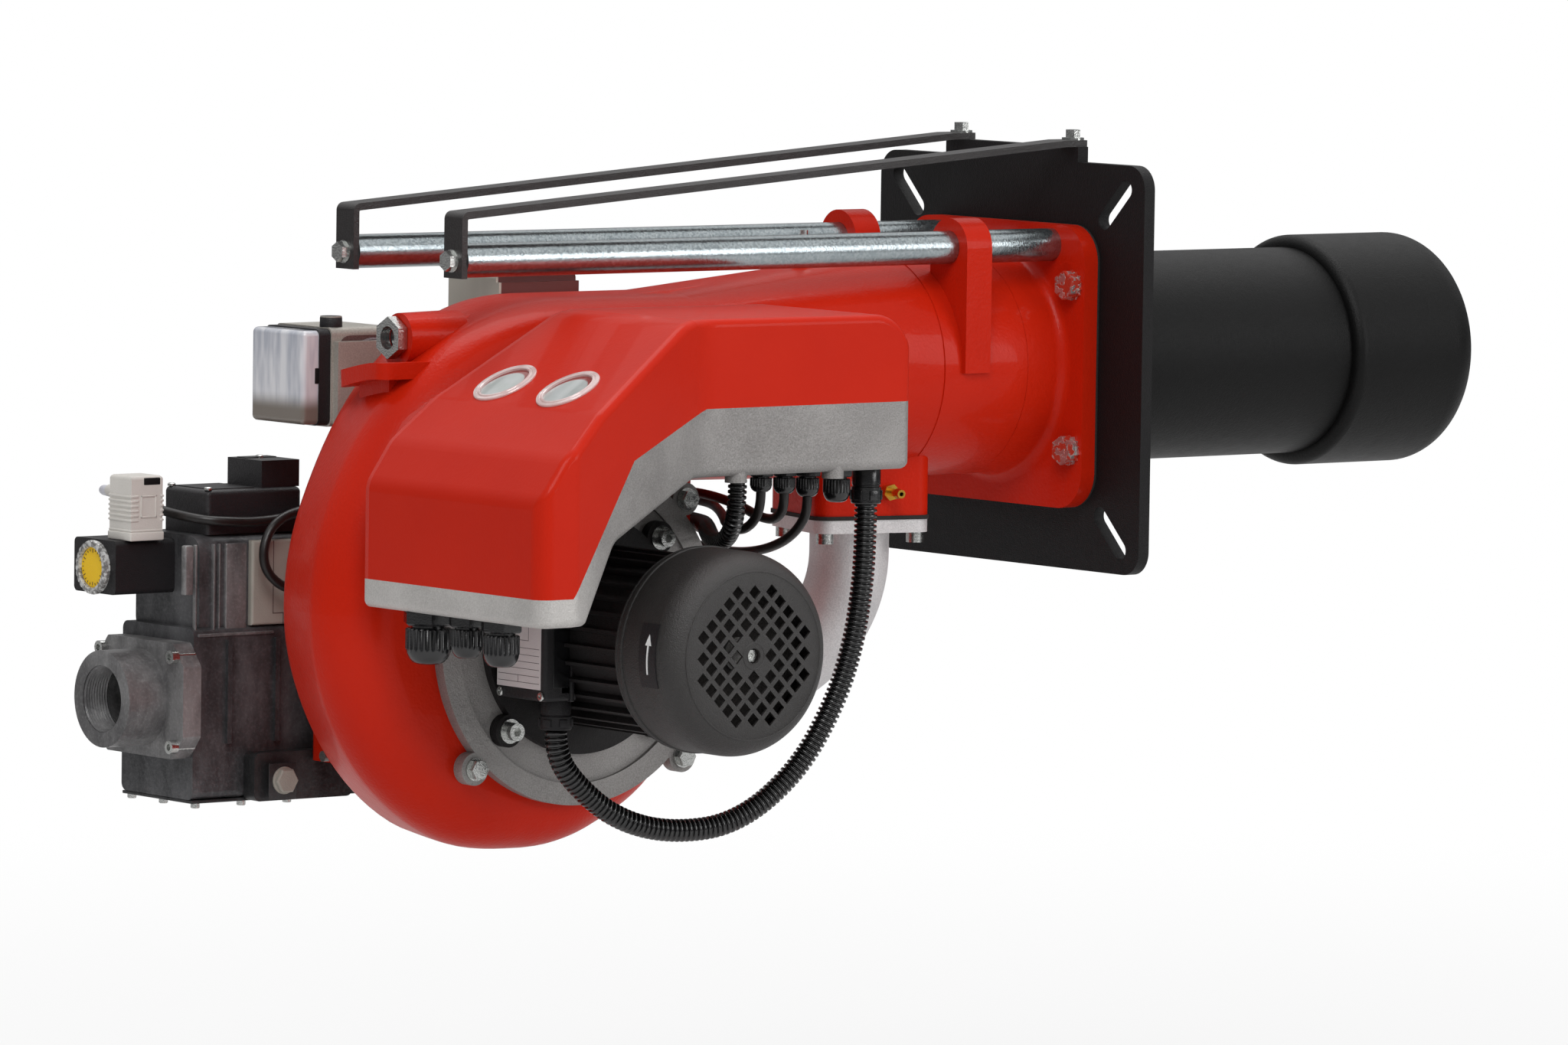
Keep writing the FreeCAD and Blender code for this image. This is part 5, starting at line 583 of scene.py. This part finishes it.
def turned(profile, at, way=(0, 0, 1), count=48, ribs=(1.0,), closed=False):
    """Carry (radius, height, ribbed) round the axis. Heights grow along way from at, in millimetres."""
    tilt = Vector(way).to_track_quat("Z", "Y")
    verts, faces = [], []
    for radius, height, *ribbed in profile:
        for i in range(count):
            factor = ribs[i % len(ribs)] if ribbed else 1.0
            reach, angle = radius * factor, math.tau * i / count
            local = Vector((reach * math.cos(angle), reach * math.sin(angle), height))
            verts.append(tilt @ local + Vector(at))
    rings = len(profile)
    for ring in range(rings if closed else rings - 1):
        after = (ring + 1) % rings
        faces += [[ring * count + i, ring * count + (i + 1) % count, after * count + (i + 1) % count,
                   after * count + i] for i in range(count)]
    if not closed:
        faces += [list(range(count))[::-1], [(rings - 1) * count + i for i in range(count)]]
    return verts, faces


def block(low, high, edge=0.5, corner=None, steps=3):
    """A box with rounded edges. corner rounds only the edges along that axis (0, 1 or 2)."""
    shape = bmesh.new()
    bmesh.ops.create_cube(shape, size=1.0)
    low, high = Vector(low), Vector(high)
    for vertex in shape.verts:
        vertex.co = Vector([low[k] + (vertex.co[k] + 0.5) * (high[k] - low[k]) for k in range(3)])
    edges = shape.edges[:]
    if corner is not None:
        edges = [e for e in edges if all(abs(e.verts[0].co[k] - e.verts[1].co[k]) < 1e-6
                                         for k in range(3) if k != corner)]
    bmesh.ops.bevel(shape, geom=edges, offset=edge, segments=steps, profile=0.5, affect="EDGES")
    result = [v.co.copy() for v in shape.verts], [[v.index for v in f.verts] for f in shape.faces]
    shape.free()
    return result


SHARP_TURN = math.radians(32)


def piece(name, shapes, finish, body="housing", replaces=()):
    """Join shapes into one piece that rides on a body."""
    verts, faces = [], []
    for some_verts, some_faces in shapes:
        faces += [[i + len(verts) for i in face] for face in some_faces]
        verts += [Vector(v) * MM for v in some_verts]
    mesh = bpy.data.meshes.new(name)
    mesh.from_pydata(verts, [], faces)
    shape = bmesh.new()
    shape.from_mesh(mesh)
    bmesh.ops.recalc_face_normals(shape, faces=shape.faces)
    shape.to_mesh(mesh)
    shape.free()
    mesh.polygons.foreach_set("use_smooth", [True] * len(mesh.polygons))
    mesh.set_sharp_from_angle(angle=SHARP_TURN)
    mesh.materials.append(finish.material)
    made = add_object(name, mesh)
    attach(made, body)
    if replaces:
        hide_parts(*replaces)
    print(name, len(faces), "faces")
    return made


# %% [markdown]
# ## Two parts with a finer outline
# Two CAD parts keep their place and get a finer outline here. The scroll of the housing narrows
# toward its far side, and the rim of the fan cover is a deeper ellipse. A copy of each mesh is cut
# into bands, so that it can bend, and each point is moved a little by a rule. The surface normals
# are carried along: two short steps on the surface are moved by the same rule, and their cross
# product is the new normal.

# %% Reshaping helper
NORMAL_STEP = 0.5


def ease(value, low, high):
    share = min(1.0, max(0.0, (value - low) / (high - low)))
    return share * share * (3 - 2 * share)


def reshaped(name, node, rule, bands, finish):
    """A bent copy of a CAD part that stands for it. rule moves a point in millimetres."""
    source = nodes[node]
    mesh = source.data.copy()
    mesh.name = name
    mesh.transform(source.matrix_world)
    turn = source.matrix_world.to_3x3()
    kept = mesh.attributes.new("kept_normal", "FLOAT_VECTOR", "CORNER")
    kept.data.foreach_set("vector", [c for n in source.data.corner_normals for c in turn @ n.vector])
    shape = bmesh.new()
    shape.from_mesh(mesh)
    for band in bands:
        bmesh.ops.bisect_plane(shape, geom=shape.verts[:] + shape.edges[:] + shape.faces[:], dist=1e-6,
                               plane_co=(0, band * MM, 0), plane_no=(0, 1, 0))
    shape.to_mesh(mesh)
    shape.free()
    kept = mesh.attributes["kept_normal"]
    places = [vertex.co.copy() for vertex in mesh.vertices]
    moved = [rule(place / MM) for place in places]
    normals = []
    for loop, old in zip(mesh.loops, kept.data):
        normal = Vector(old.vector).normalized()
        first = normal.orthogonal().normalized() * NORMAL_STEP
        second = normal.cross(first)
        at, new = places[loop.vertex_index] / MM, moved[loop.vertex_index]
        normals.append((rule(at + first) - new).cross(rule(at + second) - new).normalized())
    for vertex, new in zip(mesh.vertices, moved):
        vertex.co = new * MM
    mesh.attributes.remove(mesh.attributes["kept_normal"])
    mesh.normals_split_custom_set(normals)
    mesh.materials.clear()
    mesh.materials.append(finish.material)
    made = add_object(name, mesh)
    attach(made, "housing")
    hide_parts(node)
    print(name, len(mesh.polygons), "faces")


# %% Reshape the housing and the fan cover
MOTOR_X, MOTOR_Z = -476, -182
SIDE_PULL, FLOOR_PULL, PULL_START, PULL_WIDTH = 30, 5, -30, 86


def narrowed_scroll(at):
    """Draw the scroll's outline in toward the motor's axis, more on the far side."""
    across, up = at.x - MOTOR_X, at.z - MOTOR_Z
    radius = math.hypot(across, up)
    turn = math.degrees(math.atan2(up, across)) % 360
    outer = ease(radius, 95, 150)
    depth = min(2.0, max(0.0, (at.y - PULL_START) / PULL_WIDTH)) ** 1.2
    pull = SIDE_PULL * depth * outer * ease(turn, 90, 150) * (1 - ease(turn, 190, 275))
    pull += FLOOR_PULL * outer * ease(turn, 238, 262) * (1 - ease(turn, 285, 310))
    keep = (radius - pull) / max(radius, 1.0)
    return Vector((MOTOR_X + across * keep, at.y, MOTOR_Z + up * keep))


def rim_height(radius, start, width, depth):
    """How far an elliptical rim that begins at start has dropped at a radius."""
    share = min(1.0, max(0.0, (radius - start) / width))
    return depth * (1 - math.sqrt(1 - share * share))


def deeper_rim(at):
    radius = math.hypot(at.x - MOTOR_X, at.z - MOTOR_Z)
    drop = rim_height(radius, 56, 18, 24) - rim_height(radius, 60, 14, 14)
    return Vector((at.x, at.y + drop * (1 - ease(at.y, -270, -235)), at.z))


reshaped("housing_casting", "air_housing", narrowed_scroll, range(-24, 88, 8), cast_red)
reshaped("fan_cover_shell", "fan_cover", deeper_rim, (-262, -250, -240), cover_black)

# %% [markdown]
# ## Cable glands
# A gland is a hexagon against the hood, a little bare thread, and a ribbed nut whose end domes in
# to the cable. The ribs are what the hand grips, and they catch the light as fine lines. The two
# conduit glands are plain collars in two rings, the lower one with small windows for its clips.

# %% Ribbed glands
NUT_RIBS = (1.0, 1.0, 0.94, 0.94)
FRONT_FLOOR, REAR_FLOOR, GLAND_Y, REAR_GLAND_X = -58, -153.5, -197, -655


def ribbed_gland(x, y, top, flats, length, bore):
    hexagon, nut = flats / math.sqrt(3), flats * 0.49
    return [
        turned([(hexagon * 0.92, 0), (hexagon, 0.6), (hexagon, length * 0.22),
                (hexagon * 0.9, length * 0.26)], (x, y, top), DOWN, 6),
        turned([(flats * 0.36, 0), (flats * 0.36, length * 0.34)], (x, y, top), DOWN, 32),
        turned([(nut * 0.9, length * 0.31), (nut, length * 0.34, 1), (nut, length * 0.7, 1),
                (nut * 0.97, length * 0.73), (nut * 0.94, length * 0.8), (nut * 0.84, length * 0.89),
                (nut * 0.7, length * 0.96), (bore + 1.3, length), (bore, length), (bore, length * 0.9)],
               (x, y, top), DOWN, 96, NUT_RIBS),
    ]


def conduit_gland(x, y, top, radius, length, bore):
    shapes = [
        turned([(radius * 0.93, 0), (radius * 0.95, 0.4), (radius * 0.95, length * 0.48),
                (radius * 0.9, length * 0.5), (radius * 0.9, length * 0.53), (radius, length * 0.55),
                (radius, length * 0.97), (radius * 0.95, length), (bore, length), (bore, length * 0.85)],
               (x, y, top), DOWN, 64)]
    for i in range(6):
        angle = math.tau * (i + 0.35) / 6
        middle = Vector((x + math.cos(angle) * radius, y + math.sin(angle) * radius,
                         top - length * 0.76))
        verts, faces = block((-3.2, -0.9, -length * 0.13), (3.2, 0.7, length * 0.13), 0.4)
        spin = Matrix.Rotation(angle + math.pi / 2, 3, "Z")
        shapes.append(([spin @ v + middle for v in verts], faces))
    return shapes


FRONT_ROW = ((-401.5, 16.5, 15), (-380, 16.5, 17), (-358.6, 17.5, 20), (-331.5, 20.5, 25))
glands = []
for x, flats, length in FRONT_ROW:
    glands += ribbed_gland(x, GLAND_Y, FRONT_FLOOR, flats, length, 3.4)
glands += conduit_gland(-304, GLAND_Y, FRONT_FLOOR, 11.2, 27, 6)
piece("front_gland_row", glands, gland_black, replaces=["front_glands"])
glands = []
for y, flats, length in ((-138, 34, 38), (-184, 24, 30), (-225, 27, 33)):
    glands += ribbed_gland(REAR_GLAND_X, y, REAR_FLOOR, flats, length, flats * 0.2)
    glands += [turned([(flats * 0.24, length * 0.9), (flats * 0.24, length * 0.97)],
                      (REAR_GLAND_X, y, REAR_FLOOR), DOWN)]
piece("rear_gland_row", glands, gland_black, replaces=["rear_glands"])
piece("motor_gland_collar", conduit_gland(-538, -135, -223, 11.6, 21.6, 6), box_black,
      replaces=["motor_gland"])

# %% [markdown]
# ## Windows in the hood
# Two round windows let the operator read the lamps below the cover. Each has a clear moulded rim in
# two steps, drawn opaque in pinkish white that is partly painted highlight and partly the red cover
# seen through it, and a pale greenish pane that lies a little lower. A dark red crescent on the pane's
# upper side is painted shadow of the rim, tinted by the red cover that shows through the clear rim.

# %% Hood windows
SLOPE = 0.537
window_way = Vector((-SLOPE, 0, 1)).normalized()
uphill = Vector((1, 0, SLOPE)).normalized()
# The clear rim's pinkish white is partly painted highlight, partly the red cover seen through it.
rim_clear_with_painted_highlight = Finish("window_rim")
rim_cloud = rim_clear_with_painted_highlight.noise(120.0, 3.0)
rim_clear_with_painted_highlight.set(Base_Color=rim_clear_with_painted_highlight.blend(rim_cloud, rgb(206, 168, 164), rgb(232, 214, 212)),
              Roughness=0.1 + rim_cloud * 0.08, Coat_Weight=0.6, Coat_Roughness=0.04)


def window_pane(name, middle):
    pane = Finish(name)
    from_crescent_shadow_centre = pane.node("ShaderNodeVectorMath", {"operation": "SUBTRACT"}, [
        pane.place(), tuple((middle - uphill * 3.4) * MM)])
    distance = pane.node("ShaderNodeVectorMath", {"operation": "LENGTH"}, [from_crescent_shadow_centre], "Value")
    mist = pane.noise(70.0, 4.0)
    pale = pane.blend(mist, rgb(158, 168, 162), rgb(196, 198, 200))
    # The dark red crescent is painted shadow of the rim, with the red cover seen through the clear rim.
    pane.set(Base_Color=pane.blend(distance.above(0.0168, 0.0184), pale, rgb(138, 40, 34)),
             Roughness=0.14 + mist * 0.1, Coat_Weight=0.5, Coat_Roughness=0.04)
    return pane


for number, y in enumerate((-144, -219)):
    seat = Vector((-594, y, 53.5 - SLOPE * 85))
    piece("window_rim_%d" % number, [
        turned([(24.4, 0.0), (24.5, 1.0), (24.0, 1.7), (21.8, 1.9), (21.2, 1.5), (20.6, 2.3), (19.6, 2.4),
                (18.9, 1.8), (18.8, 0.2)], seat, window_way, 72, closed=True)], rim_clear_with_painted_highlight,
        replaces=["hood_windows"])
    piece("window_pane_%d" % number, [
        turned([(19.2, -1.2), (19.2, 0.3), (12.0, 0.5), (5.0, 0.6)], seat, window_way, 72)],
        window_pane("window_pane_%d" % number, seat), replaces=["hood_windows"])

# %% [markdown]
# ## Details of the motor
# The fan cover carries a bead round its open edge, a thin edge round the grille, a hub with the
# shaft's nut behind it, and a black plate with an arrow. The arrow shows which way the motor must
# turn. Its strokes are thin solids that bend with the cover, so every point is placed by an angle
# round the motor's axis and a distance along it.

# %% Cover bead, grille edge and hub
motor_middle = (MOTOR_X, 0, MOTOR_Z)


def bead(radius, along, thick):
    """A thin round ring about the motor's axis."""
    section = [(radius + thick * math.sin(a), along + thick * math.cos(a))
               for a in (math.tau * i / 8 for i in range(8))]
    return turned(section, motor_middle, (0, 1, 0), 128, closed=True)


piece("cover_beads", [bead(74.0, -227.5, 1.1), bead(73.6, -221.5, 0.8), bead(60.5, -286.0, 0.7),
                      bead(9.4, -286.6, 0.8), bead(5.9, -286.8, 0.5)], cover_black)
piece("cover_nut", [turned([(5.6, 0), (5.6, 3.0), (4.9, 3.6), (2.4, 3.6), (2.4, 2.0)],
                           (MOTOR_X, -280, MOTOR_Z), TOWARD_VIEWER, 6)], bolt_zinc)

# %% Arrow plate
COVER_RADIUS = 74


def on_cover(turn_by, along, lift):
    angle, radius = math.radians(turn_by), COVER_RADIUS + lift
    return Vector((MOTOR_X + radius * math.cos(angle), along, MOTOR_Z + radius * math.sin(angle)))


def wrapped(outline, low, high, steps=12):
    """A four-cornered strip on the cover: two (turn, along) edges, from lift low to lift high."""
    (a, b), (c, d) = outline
    verts, faces = [], []
    for i in range(steps + 1):
        share = i / steps
        left = [a[k] + (b[k] - a[k]) * share for k in (0, 1)]
        right = [c[k] + (d[k] - c[k]) * share for k in (0, 1)]
        verts += [on_cover(*left, low), on_cover(*left, high),
                  on_cover(*right, high), on_cover(*right, low)]
        if i:
            n = 4 * i
            faces += [[n - 4 + k, n - 4 + (k + 1) % 4, n + (k + 1) % 4, n + k] for k in range(4)]
    return verts, faces + [[0, 1, 2, 3], [4 * steps + 3, 4 * steps + 2, 4 * steps + 1, 4 * steps]]


plate_outline = (((161, -267.5), (197, -267.5)), ((161, -248.5), (197, -248.5)))
piece("arrow_plate", [wrapped(plate_outline, -0.5, 0.5)], box_black)
piece("arrow", [
    wrapped((((172, -260.2), (189.5, -258.6)), ((172, -258.4), (189.5, -257.2))), 0.45, 0.75),
    wrapped((((167.2, -259.3), (173.4, -262.6)), ((167.2, -259.2), (173.4, -255.8))), 0.45, 0.75, 4),
], print_white)

# %% [markdown]
# The lid of the terminal box is deeper than its seam in CAD suggests, with a lip round it and four
# screws. On its end sits the rating plate, left blank apart from the ruled lines that such a plate
# has, and on its side a plain black label. Neither carries any words.

# %% Terminal lid and plates
lid = block((-560, -150, -223), (-534.5, -93, -140), 3.0)
lip = block((-536.5, -150.6, -223.6), (-533, -92.6, -139.6), 0.8)
screw_head = [(3.4, 0), (3.4, 0.7), (2.6, 1.4), (1.3, 1.4), (1.3, 0.5)]
corner_screws = [turned(screw_head, (-560, y, z), REARWARD, 24) for y in (-146, -97) for z in (-219, -144)]
piece("terminal_lid_shell", [lid, lip], box_black, replaces=["terminal_lid"])
piece("terminal_lid_screws", corner_screws, bolt_zinc)
piece("rating_plate", [block((-560.5, -145.6, -214.5), (-559.9, -93.5, -150), 0.15)], label_white)
rules = [block((-560.62, -144, z), (-560.4, -95, z + 0.35), 0.08)
         for z in (-210.5, -205.5, -200.5, -195.5, -190.5, -185.5)]
rules += [block((-560.62, *low), (-560.4, *high), 0.08) for low, high in (
    ((-119, -210.5), (-118.65, -205.5)), ((-131, -180), (-130.65, -158)), ((-131, -158), (-104, -157.65)),
    ((-131, -180), (-104, -179.65)), ((-104.35, -180), (-104, -158)))]
piece("rating_plate_rules", rules, print_dark)
piece("side_label", [block((-552.5, -150.5, -213), (-538, -149.9, -152), 0.15)], gland_black)

# %% [markdown]
# ## The pressure switch's plug and dial
# The plug is a moulding with six grip ribs that wrap its rear face, a collar at its foot, a framed
# panel and a conical cable nut. A clear notched ring covers the yellow dial. The dial keeps plain
# scale marks, which turn with it.

# %% Plug mouldings
plug_shapes = [block((-691.2, 185.0, -126), (-660.8, 215.2, -119.5), 1.2),
               block((-690.5, 185.5, -119.6), (-661.5, 214.6, -117.6), 0.8)]
for rib in range(6):
    z = -92.2 - rib * 3.55
    plug_shapes.append(block((-690.9, 185.2, z - 1.9), (-683.5, 214.9, z), 0.7))
    plug_shapes.append(block((-664.0, 185.2, z - 1.9), (-661.1, 214.9, z), 0.7))
PANEL_BARS = ((-681.5, -667.5, -93.6, -92.5), (-681.5, -667.5, -109, -107.9),
              (-681.5, -680.4, -109, -92.5), (-668.6, -667.5, -109, -92.5))
for left, right, bottom, top in PANEL_BARS:
    plug_shapes.append(block((left, 185.3, bottom), (right, 186.2, top), 0.3))
plug_shapes.append(turned([(9.2, 0), (9.2, 1.5), (8.4, 2.2), (7.9, 8.4), (6.8, 10)], (-676, 213.6, -92),
                          (0, 1, 0), 48, (1.0, 1.0, 1.0, 1.0, 0.93, 0.93)))
piece("plug_mouldings", plug_shapes, plug_grey)
piece("plug_latch", [block((-679, 185.6, -85), (-664.2, 196, -79.6), 0.8)], slot_dark)
switch_boot = turned([(5.6, 0), (5.2, 3), (4.4, 11), (4.0, 12)], (-676, 223.6, -92), (0, 1, 0))
piece("switch_cable_boot", [switch_boot], plug_grey)

# %% Dial ring and scale marks
ring_plastic = Finish("clear_ring")
ring_cloud = ring_plastic.noise(260.0, 3.0).above(0.4, 0.6)
ring_plastic.set(Base_Color=ring_plastic.blend(ring_cloud, rgb(112, 110, 108), rgb(206, 206, 204)),
                 Roughness=0.1 + ring_cloud * 0.1, Coat_Weight=0.5, Coat_Roughness=0.04)
ring_profile = [(20.0, 0), (20.2, 3.0, 1), (19.6, 4.4, 1), (18.0, 5.0), (15.4, 5.0), (15.0, 4.2), (15.0, 0)]
notched_ring = turned(ring_profile, (-699.4, 218, -147), REARWARD, 96, (1.0, 1.0, 1.0, 0.96), closed=True)
piece("dial_ring", [notched_ring], ring_plastic)
yellow_face = turned([(15.2, 0), (15.2, 1.8), (14.6, 2.2), (8, 2.3)], (-699.6, 218, -147), REARWARD, 64)
piece("dial_face", [yellow_face], dial_yellow, body="dial")
TICKS, MARK_REACH = 24, 13.4
marks = []
for tick in range(TICKS):
    mark_length = 2.6 if tick % 4 == 0 else 1.5
    verts, faces = block((-702.2, -0.22, MARK_REACH - mark_length), (-701.7, 0.22, MARK_REACH), 0.08)
    spin = Matrix.Rotation(math.tau * tick / TICKS, 3, "X")
    marks.append(([spin @ v + Vector((0, 218, -147)) for v in verts], faces))
piece("dial_marks", marks, print_dark, body="dial")

# %% [markdown]
# ## The damper motor's side
# Beside its black band the damper motor has a recessed brown panel with a brass screw and a turned
# disc, and its clear cover carries a small dark square.

# %% Damper motor details
piece("servo_panel_face", [block((-581, 77.4, -31), (-540, 78.2, 29), 9, 1, 6)], panel_brown)
piece("servo_turned_disc", [turned([(24, 0), (24, 0.9), (22.8, 1.2), (22.2, 0.7), (4, 0.7), (3.6, 1.4)],
                                   (-551, 77.5, 3), TOWARD_VIEWER, 72)], disc_grey)
piece("servo_screw", [turned([(3.6, 0), (3.6, 0.8), (2.8, 1.5), (1.1, 1.5), (1.1, 0.6)], (-572, 77.5, 17.2),
                             TOWARD_VIEWER, 24)], brass)
knob_profile = [(8.3, 0), (8.4, 0.6), (8.2, 6.8), (7.4, 8.0), (3, 8.1)]
piece("servo_knob_cap", [turned(knob_profile, (-580, 90, 35), count=64)], box_black)
piece("servo_window", [block((-601.2, 79.6, -5.8), (-597.8, 80.4, 5.6), 0.2)], slot_dark)
servo_boot = turned([(5.8, 0), (5.6, 1), (4.2, 9), (4.0, 10)], (-535.2, 112, -16), (1, 0, 0))
piece("servo_cable_boot", [servo_boot], box_black)

# %% [markdown]
# ## Details of the gas valve
# Ridges run down the valve's upper block where the die parted. A thin cover closes its underside
# with a row of small socket screws. The inlet's thread is a fine saw-tooth inside the socket, and
# the test screw below the block is a hexagon with a turned shoulder.

# %% Valve ridges, bottom cover and screws
RIDGES = (((-663.3, 154.2, -165), (-655.5, 160, -128), 1.5),
          ((-652.6, 156.4, -195), (-650.6, 160, -128), 0.8),
          ((-636.4, 156.0, -195), (-634.4, 160, -128), 0.8),
          ((-630.6, 157.2, -195), (-629.2, 160, -128), 0.6),
          ((-624.8, 156.6, -195), (-606, 160, -128), 1.0),
          ((-651.6, 152.8, -196.2), (-583.5, 155, -193.8), 0.8))
piece("valve_ridges", [block(*ridge) for ridge in RIDGES], pale_cast)
piece("valve_bottom_cover", [block((-655, 155, -319.6), (-482, 245, -317.2), 0.6)], dark_cast)
screw_places = [(x, y) for x in (-648.9, -607.5, -566, -524, -490) for y in (159, 241) if x < -530 or y > 200]
screw_places += [(-648.9, 200), (-490, 200)]
small_screw = [(3.4, 0), (3.4, 3.2), (2.8, 3.8), (1.6, 3.8), (1.6, 2.0)]
piece("bottom_cover_screws", [turned(small_screw, (x, y, -319.4), DOWN, 24) for x, y in screw_places],
      bolt_zinc)

# %% Inlet thread and test screw
THREAD_PITCH = 2.3
thread_profile = [(25.4, 0.0)]
for groove in range(9):
    thread_profile += [(24.9, 1.2 + groove * THREAD_PITCH), (23.7, 2.35 + groove * THREAD_PITCH)]
thread_profile += [(24.9, 22.0), (26.0, 22.0), (26.0, 0.6)]
piece("inlet_thread", [turned(thread_profile, (-705, 200.04, -243), (1, 0, 0), 96, closed=True)], pale_cast)
test_place = (-587, 134.2, -303.5)
piece("test_screw", [turned([(10.2, 0), (10.2, 2.0), (9.2, 2.6)], test_place, TOWARD_VIEWER, 48),
                     turned([(9.6, 2.4), (9.8, 5.6), (8.6, 6.6)], test_place, TOWARD_VIEWER, 6)], cover_grey)
piece("test_frame", [block((-600.5, 133.4, -318), (-575.5, 134.2, -290.5), 0.5)], dark_cast)

# %% Seam of the side cover and tops of the coil boxes
piece("cover_seam", [block((-584.2, 153.8, -181), (-583.6, 154.3, -127), 0.1),
                     block((-584.2, 153.8, -181.4), (-574.4, 154.3, -180.8), 0.1),
                     block((-575, 153.8, -189.4), (-574.4, 154.3, -181), 0.1)], print_dark)
piece("coil_lids", [block((-630, 171, -89.2), (-590, 216, -88.2), 0.4),
                    block((-581, 195, -69.2), (-553, 207, -68.2), 0.4)], box_black)
coil_screw = [(3.0, 0), (3.0, 1.6), (2.2, 2.2), (1.0, 2.2), (1.0, 1.0)]
piece("coil_screws", [turned(coil_screw, place, count=24) for place in (
    (-632.5, 170, -89), (-632.5, 217, -89), (-567, 197, -69))], bolt_zinc)
valve_boot = turned([(6.4, 0), (6.2, 1), (4.4, 7), (4.0, 8)], (-557, 154.2, -165), TOWARD_VIEWER)
piece("valve_cable_boot", [valve_boot], box_black)

# %% [markdown]
# ## Studio light
# The photograph is a cut-out on white with broad, soft light from the upper left and a paler fill
# from the right. Three large area lamps and a dim world give that. The white that the camera sees
# behind the burner comes from the world's own colour, not from more light on the object.
# Reflections see that white too, but only high up. Lower down they see a much dimmer world, as in
# a real studio, and that darkness is what draws the shapes of shiny metal.

# %% World
WHITE, DIM, DARK = (1, 1, 1, 1), (0.42, 0.42, 0.42, 1), (0.1, 0.1, 0.105, 1)


class Sky(Finish):
    """The world, whose node tree is built in the same way as a material's."""

    def __init__(self, name):
        self.world = bpy.data.worlds.new(name)
        self.world.use_nodes = True
        self.tree = self.world.node_tree
        self.shader = self.tree.nodes["Background"]


def seen_by(finish, kind):
    """1 for one kind of ray, and 0 for the others."""
    return finish.node("ShaderNodeLightPath", {}, {}, "Is %s Ray" % kind)


sky = Sky("studio_world")
bpy.context.scene.world = sky.world
direction = sky.node("ShaderNodeTexCoord", {}, {}, "Generated")
height = sky.node("ShaderNodeSeparateXYZ", {}, [direction], "Z")
reflected = seen_by(sky, "Glossy")
high_up = height.above(0.0, 0.75)
white_share = seen_by(sky, "Camera").most(reflected * high_up).most(seen_by(sky, "Transmission"))
sky.set(Color=sky.blend(white_share, sky.blend(reflected, DIM, DARK), WHITE), Strength=1.0)
print("world colour", DIM)


# %% Lamps
def area_lamp(name, at, aim, size, power):
    data = bpy.data.lights.new(name, "AREA")
    data.shape, data.size, data.size_y, data.energy = "RECTANGLE", size[0], size[1], power
    lamp = add_object(name, data)
    lamp.location = at
    lamp.rotation_euler = (Vector(aim) - Vector(at)).to_track_quat("-Z", "Y").to_euler()
    print(name, power, "W")


area_lamp("key_lamp", (-2.2, -2.2, 2.6), (-0.2, 0, -0.1), (1.8, 1.8), 62)
area_lamp("fill_lamp", (1.6, -3.2, 0.9), (0, 0, -0.1), (1.6, 1.6), 34)
area_lamp("top_lamp", (0.4, 0.6, 3.2), (-0.1, 0, 0), (2.6, 1.4), 44)

# %% [markdown]
# The floor is white paper. The camera sees mostly its own white, and a share of the paper's true
# shade near the burner, which keeps the shadow. That share fades with distance, so the far floor
# meets the white world without a line.

# %% Floor
FLOOR_HEIGHT, FLOOR_HALF = -0.62, 9.0
floor_mesh = bpy.data.meshes.new("studio_floor")
floor_mesh.from_pydata([(x * FLOOR_HALF, y * FLOOR_HALF, FLOOR_HEIGHT) for x, y in
                        ((-1, -1), (1, -1), (1, 1), (-1, 1))], [], [(0, 1, 2, 3)])
floor = add_object("studio_floor", floor_mesh)
paper = Finish("white_paper")
paper.set(Base_Color=(0.78, 0.78, 0.78, 1.0), Roughness=0.9)
glow = paper.node("ShaderNodeEmission", {}, {"Color": WHITE, "Strength": 1.0}, "Emission")
away = paper.node("ShaderNodeVectorMath", {"operation": "LENGTH"}, [paper.place()], "Value")
share = seen_by(paper, "Camera") * (0.8 + away.above(0.7, 2.6) * 0.2)
mixed = paper.node("ShaderNodeMixShader", {}, [share, Value(paper, paper.shader.outputs[0]), glow], "Shader")
paper.plug(paper.tree.nodes["Material Output"].inputs[0], mixed)
floor_mesh.materials.append(paper.material)
print("floor at", FLOOR_HEIGHT)

# %% [markdown]
# ## Colour output
# The view transform stays Standard, so colours come out as they are written. The dressed
# burner must be no bigger than its CAD parts.

# %% Finish
bpy.context.scene.view_settings.view_transform = "Standard"
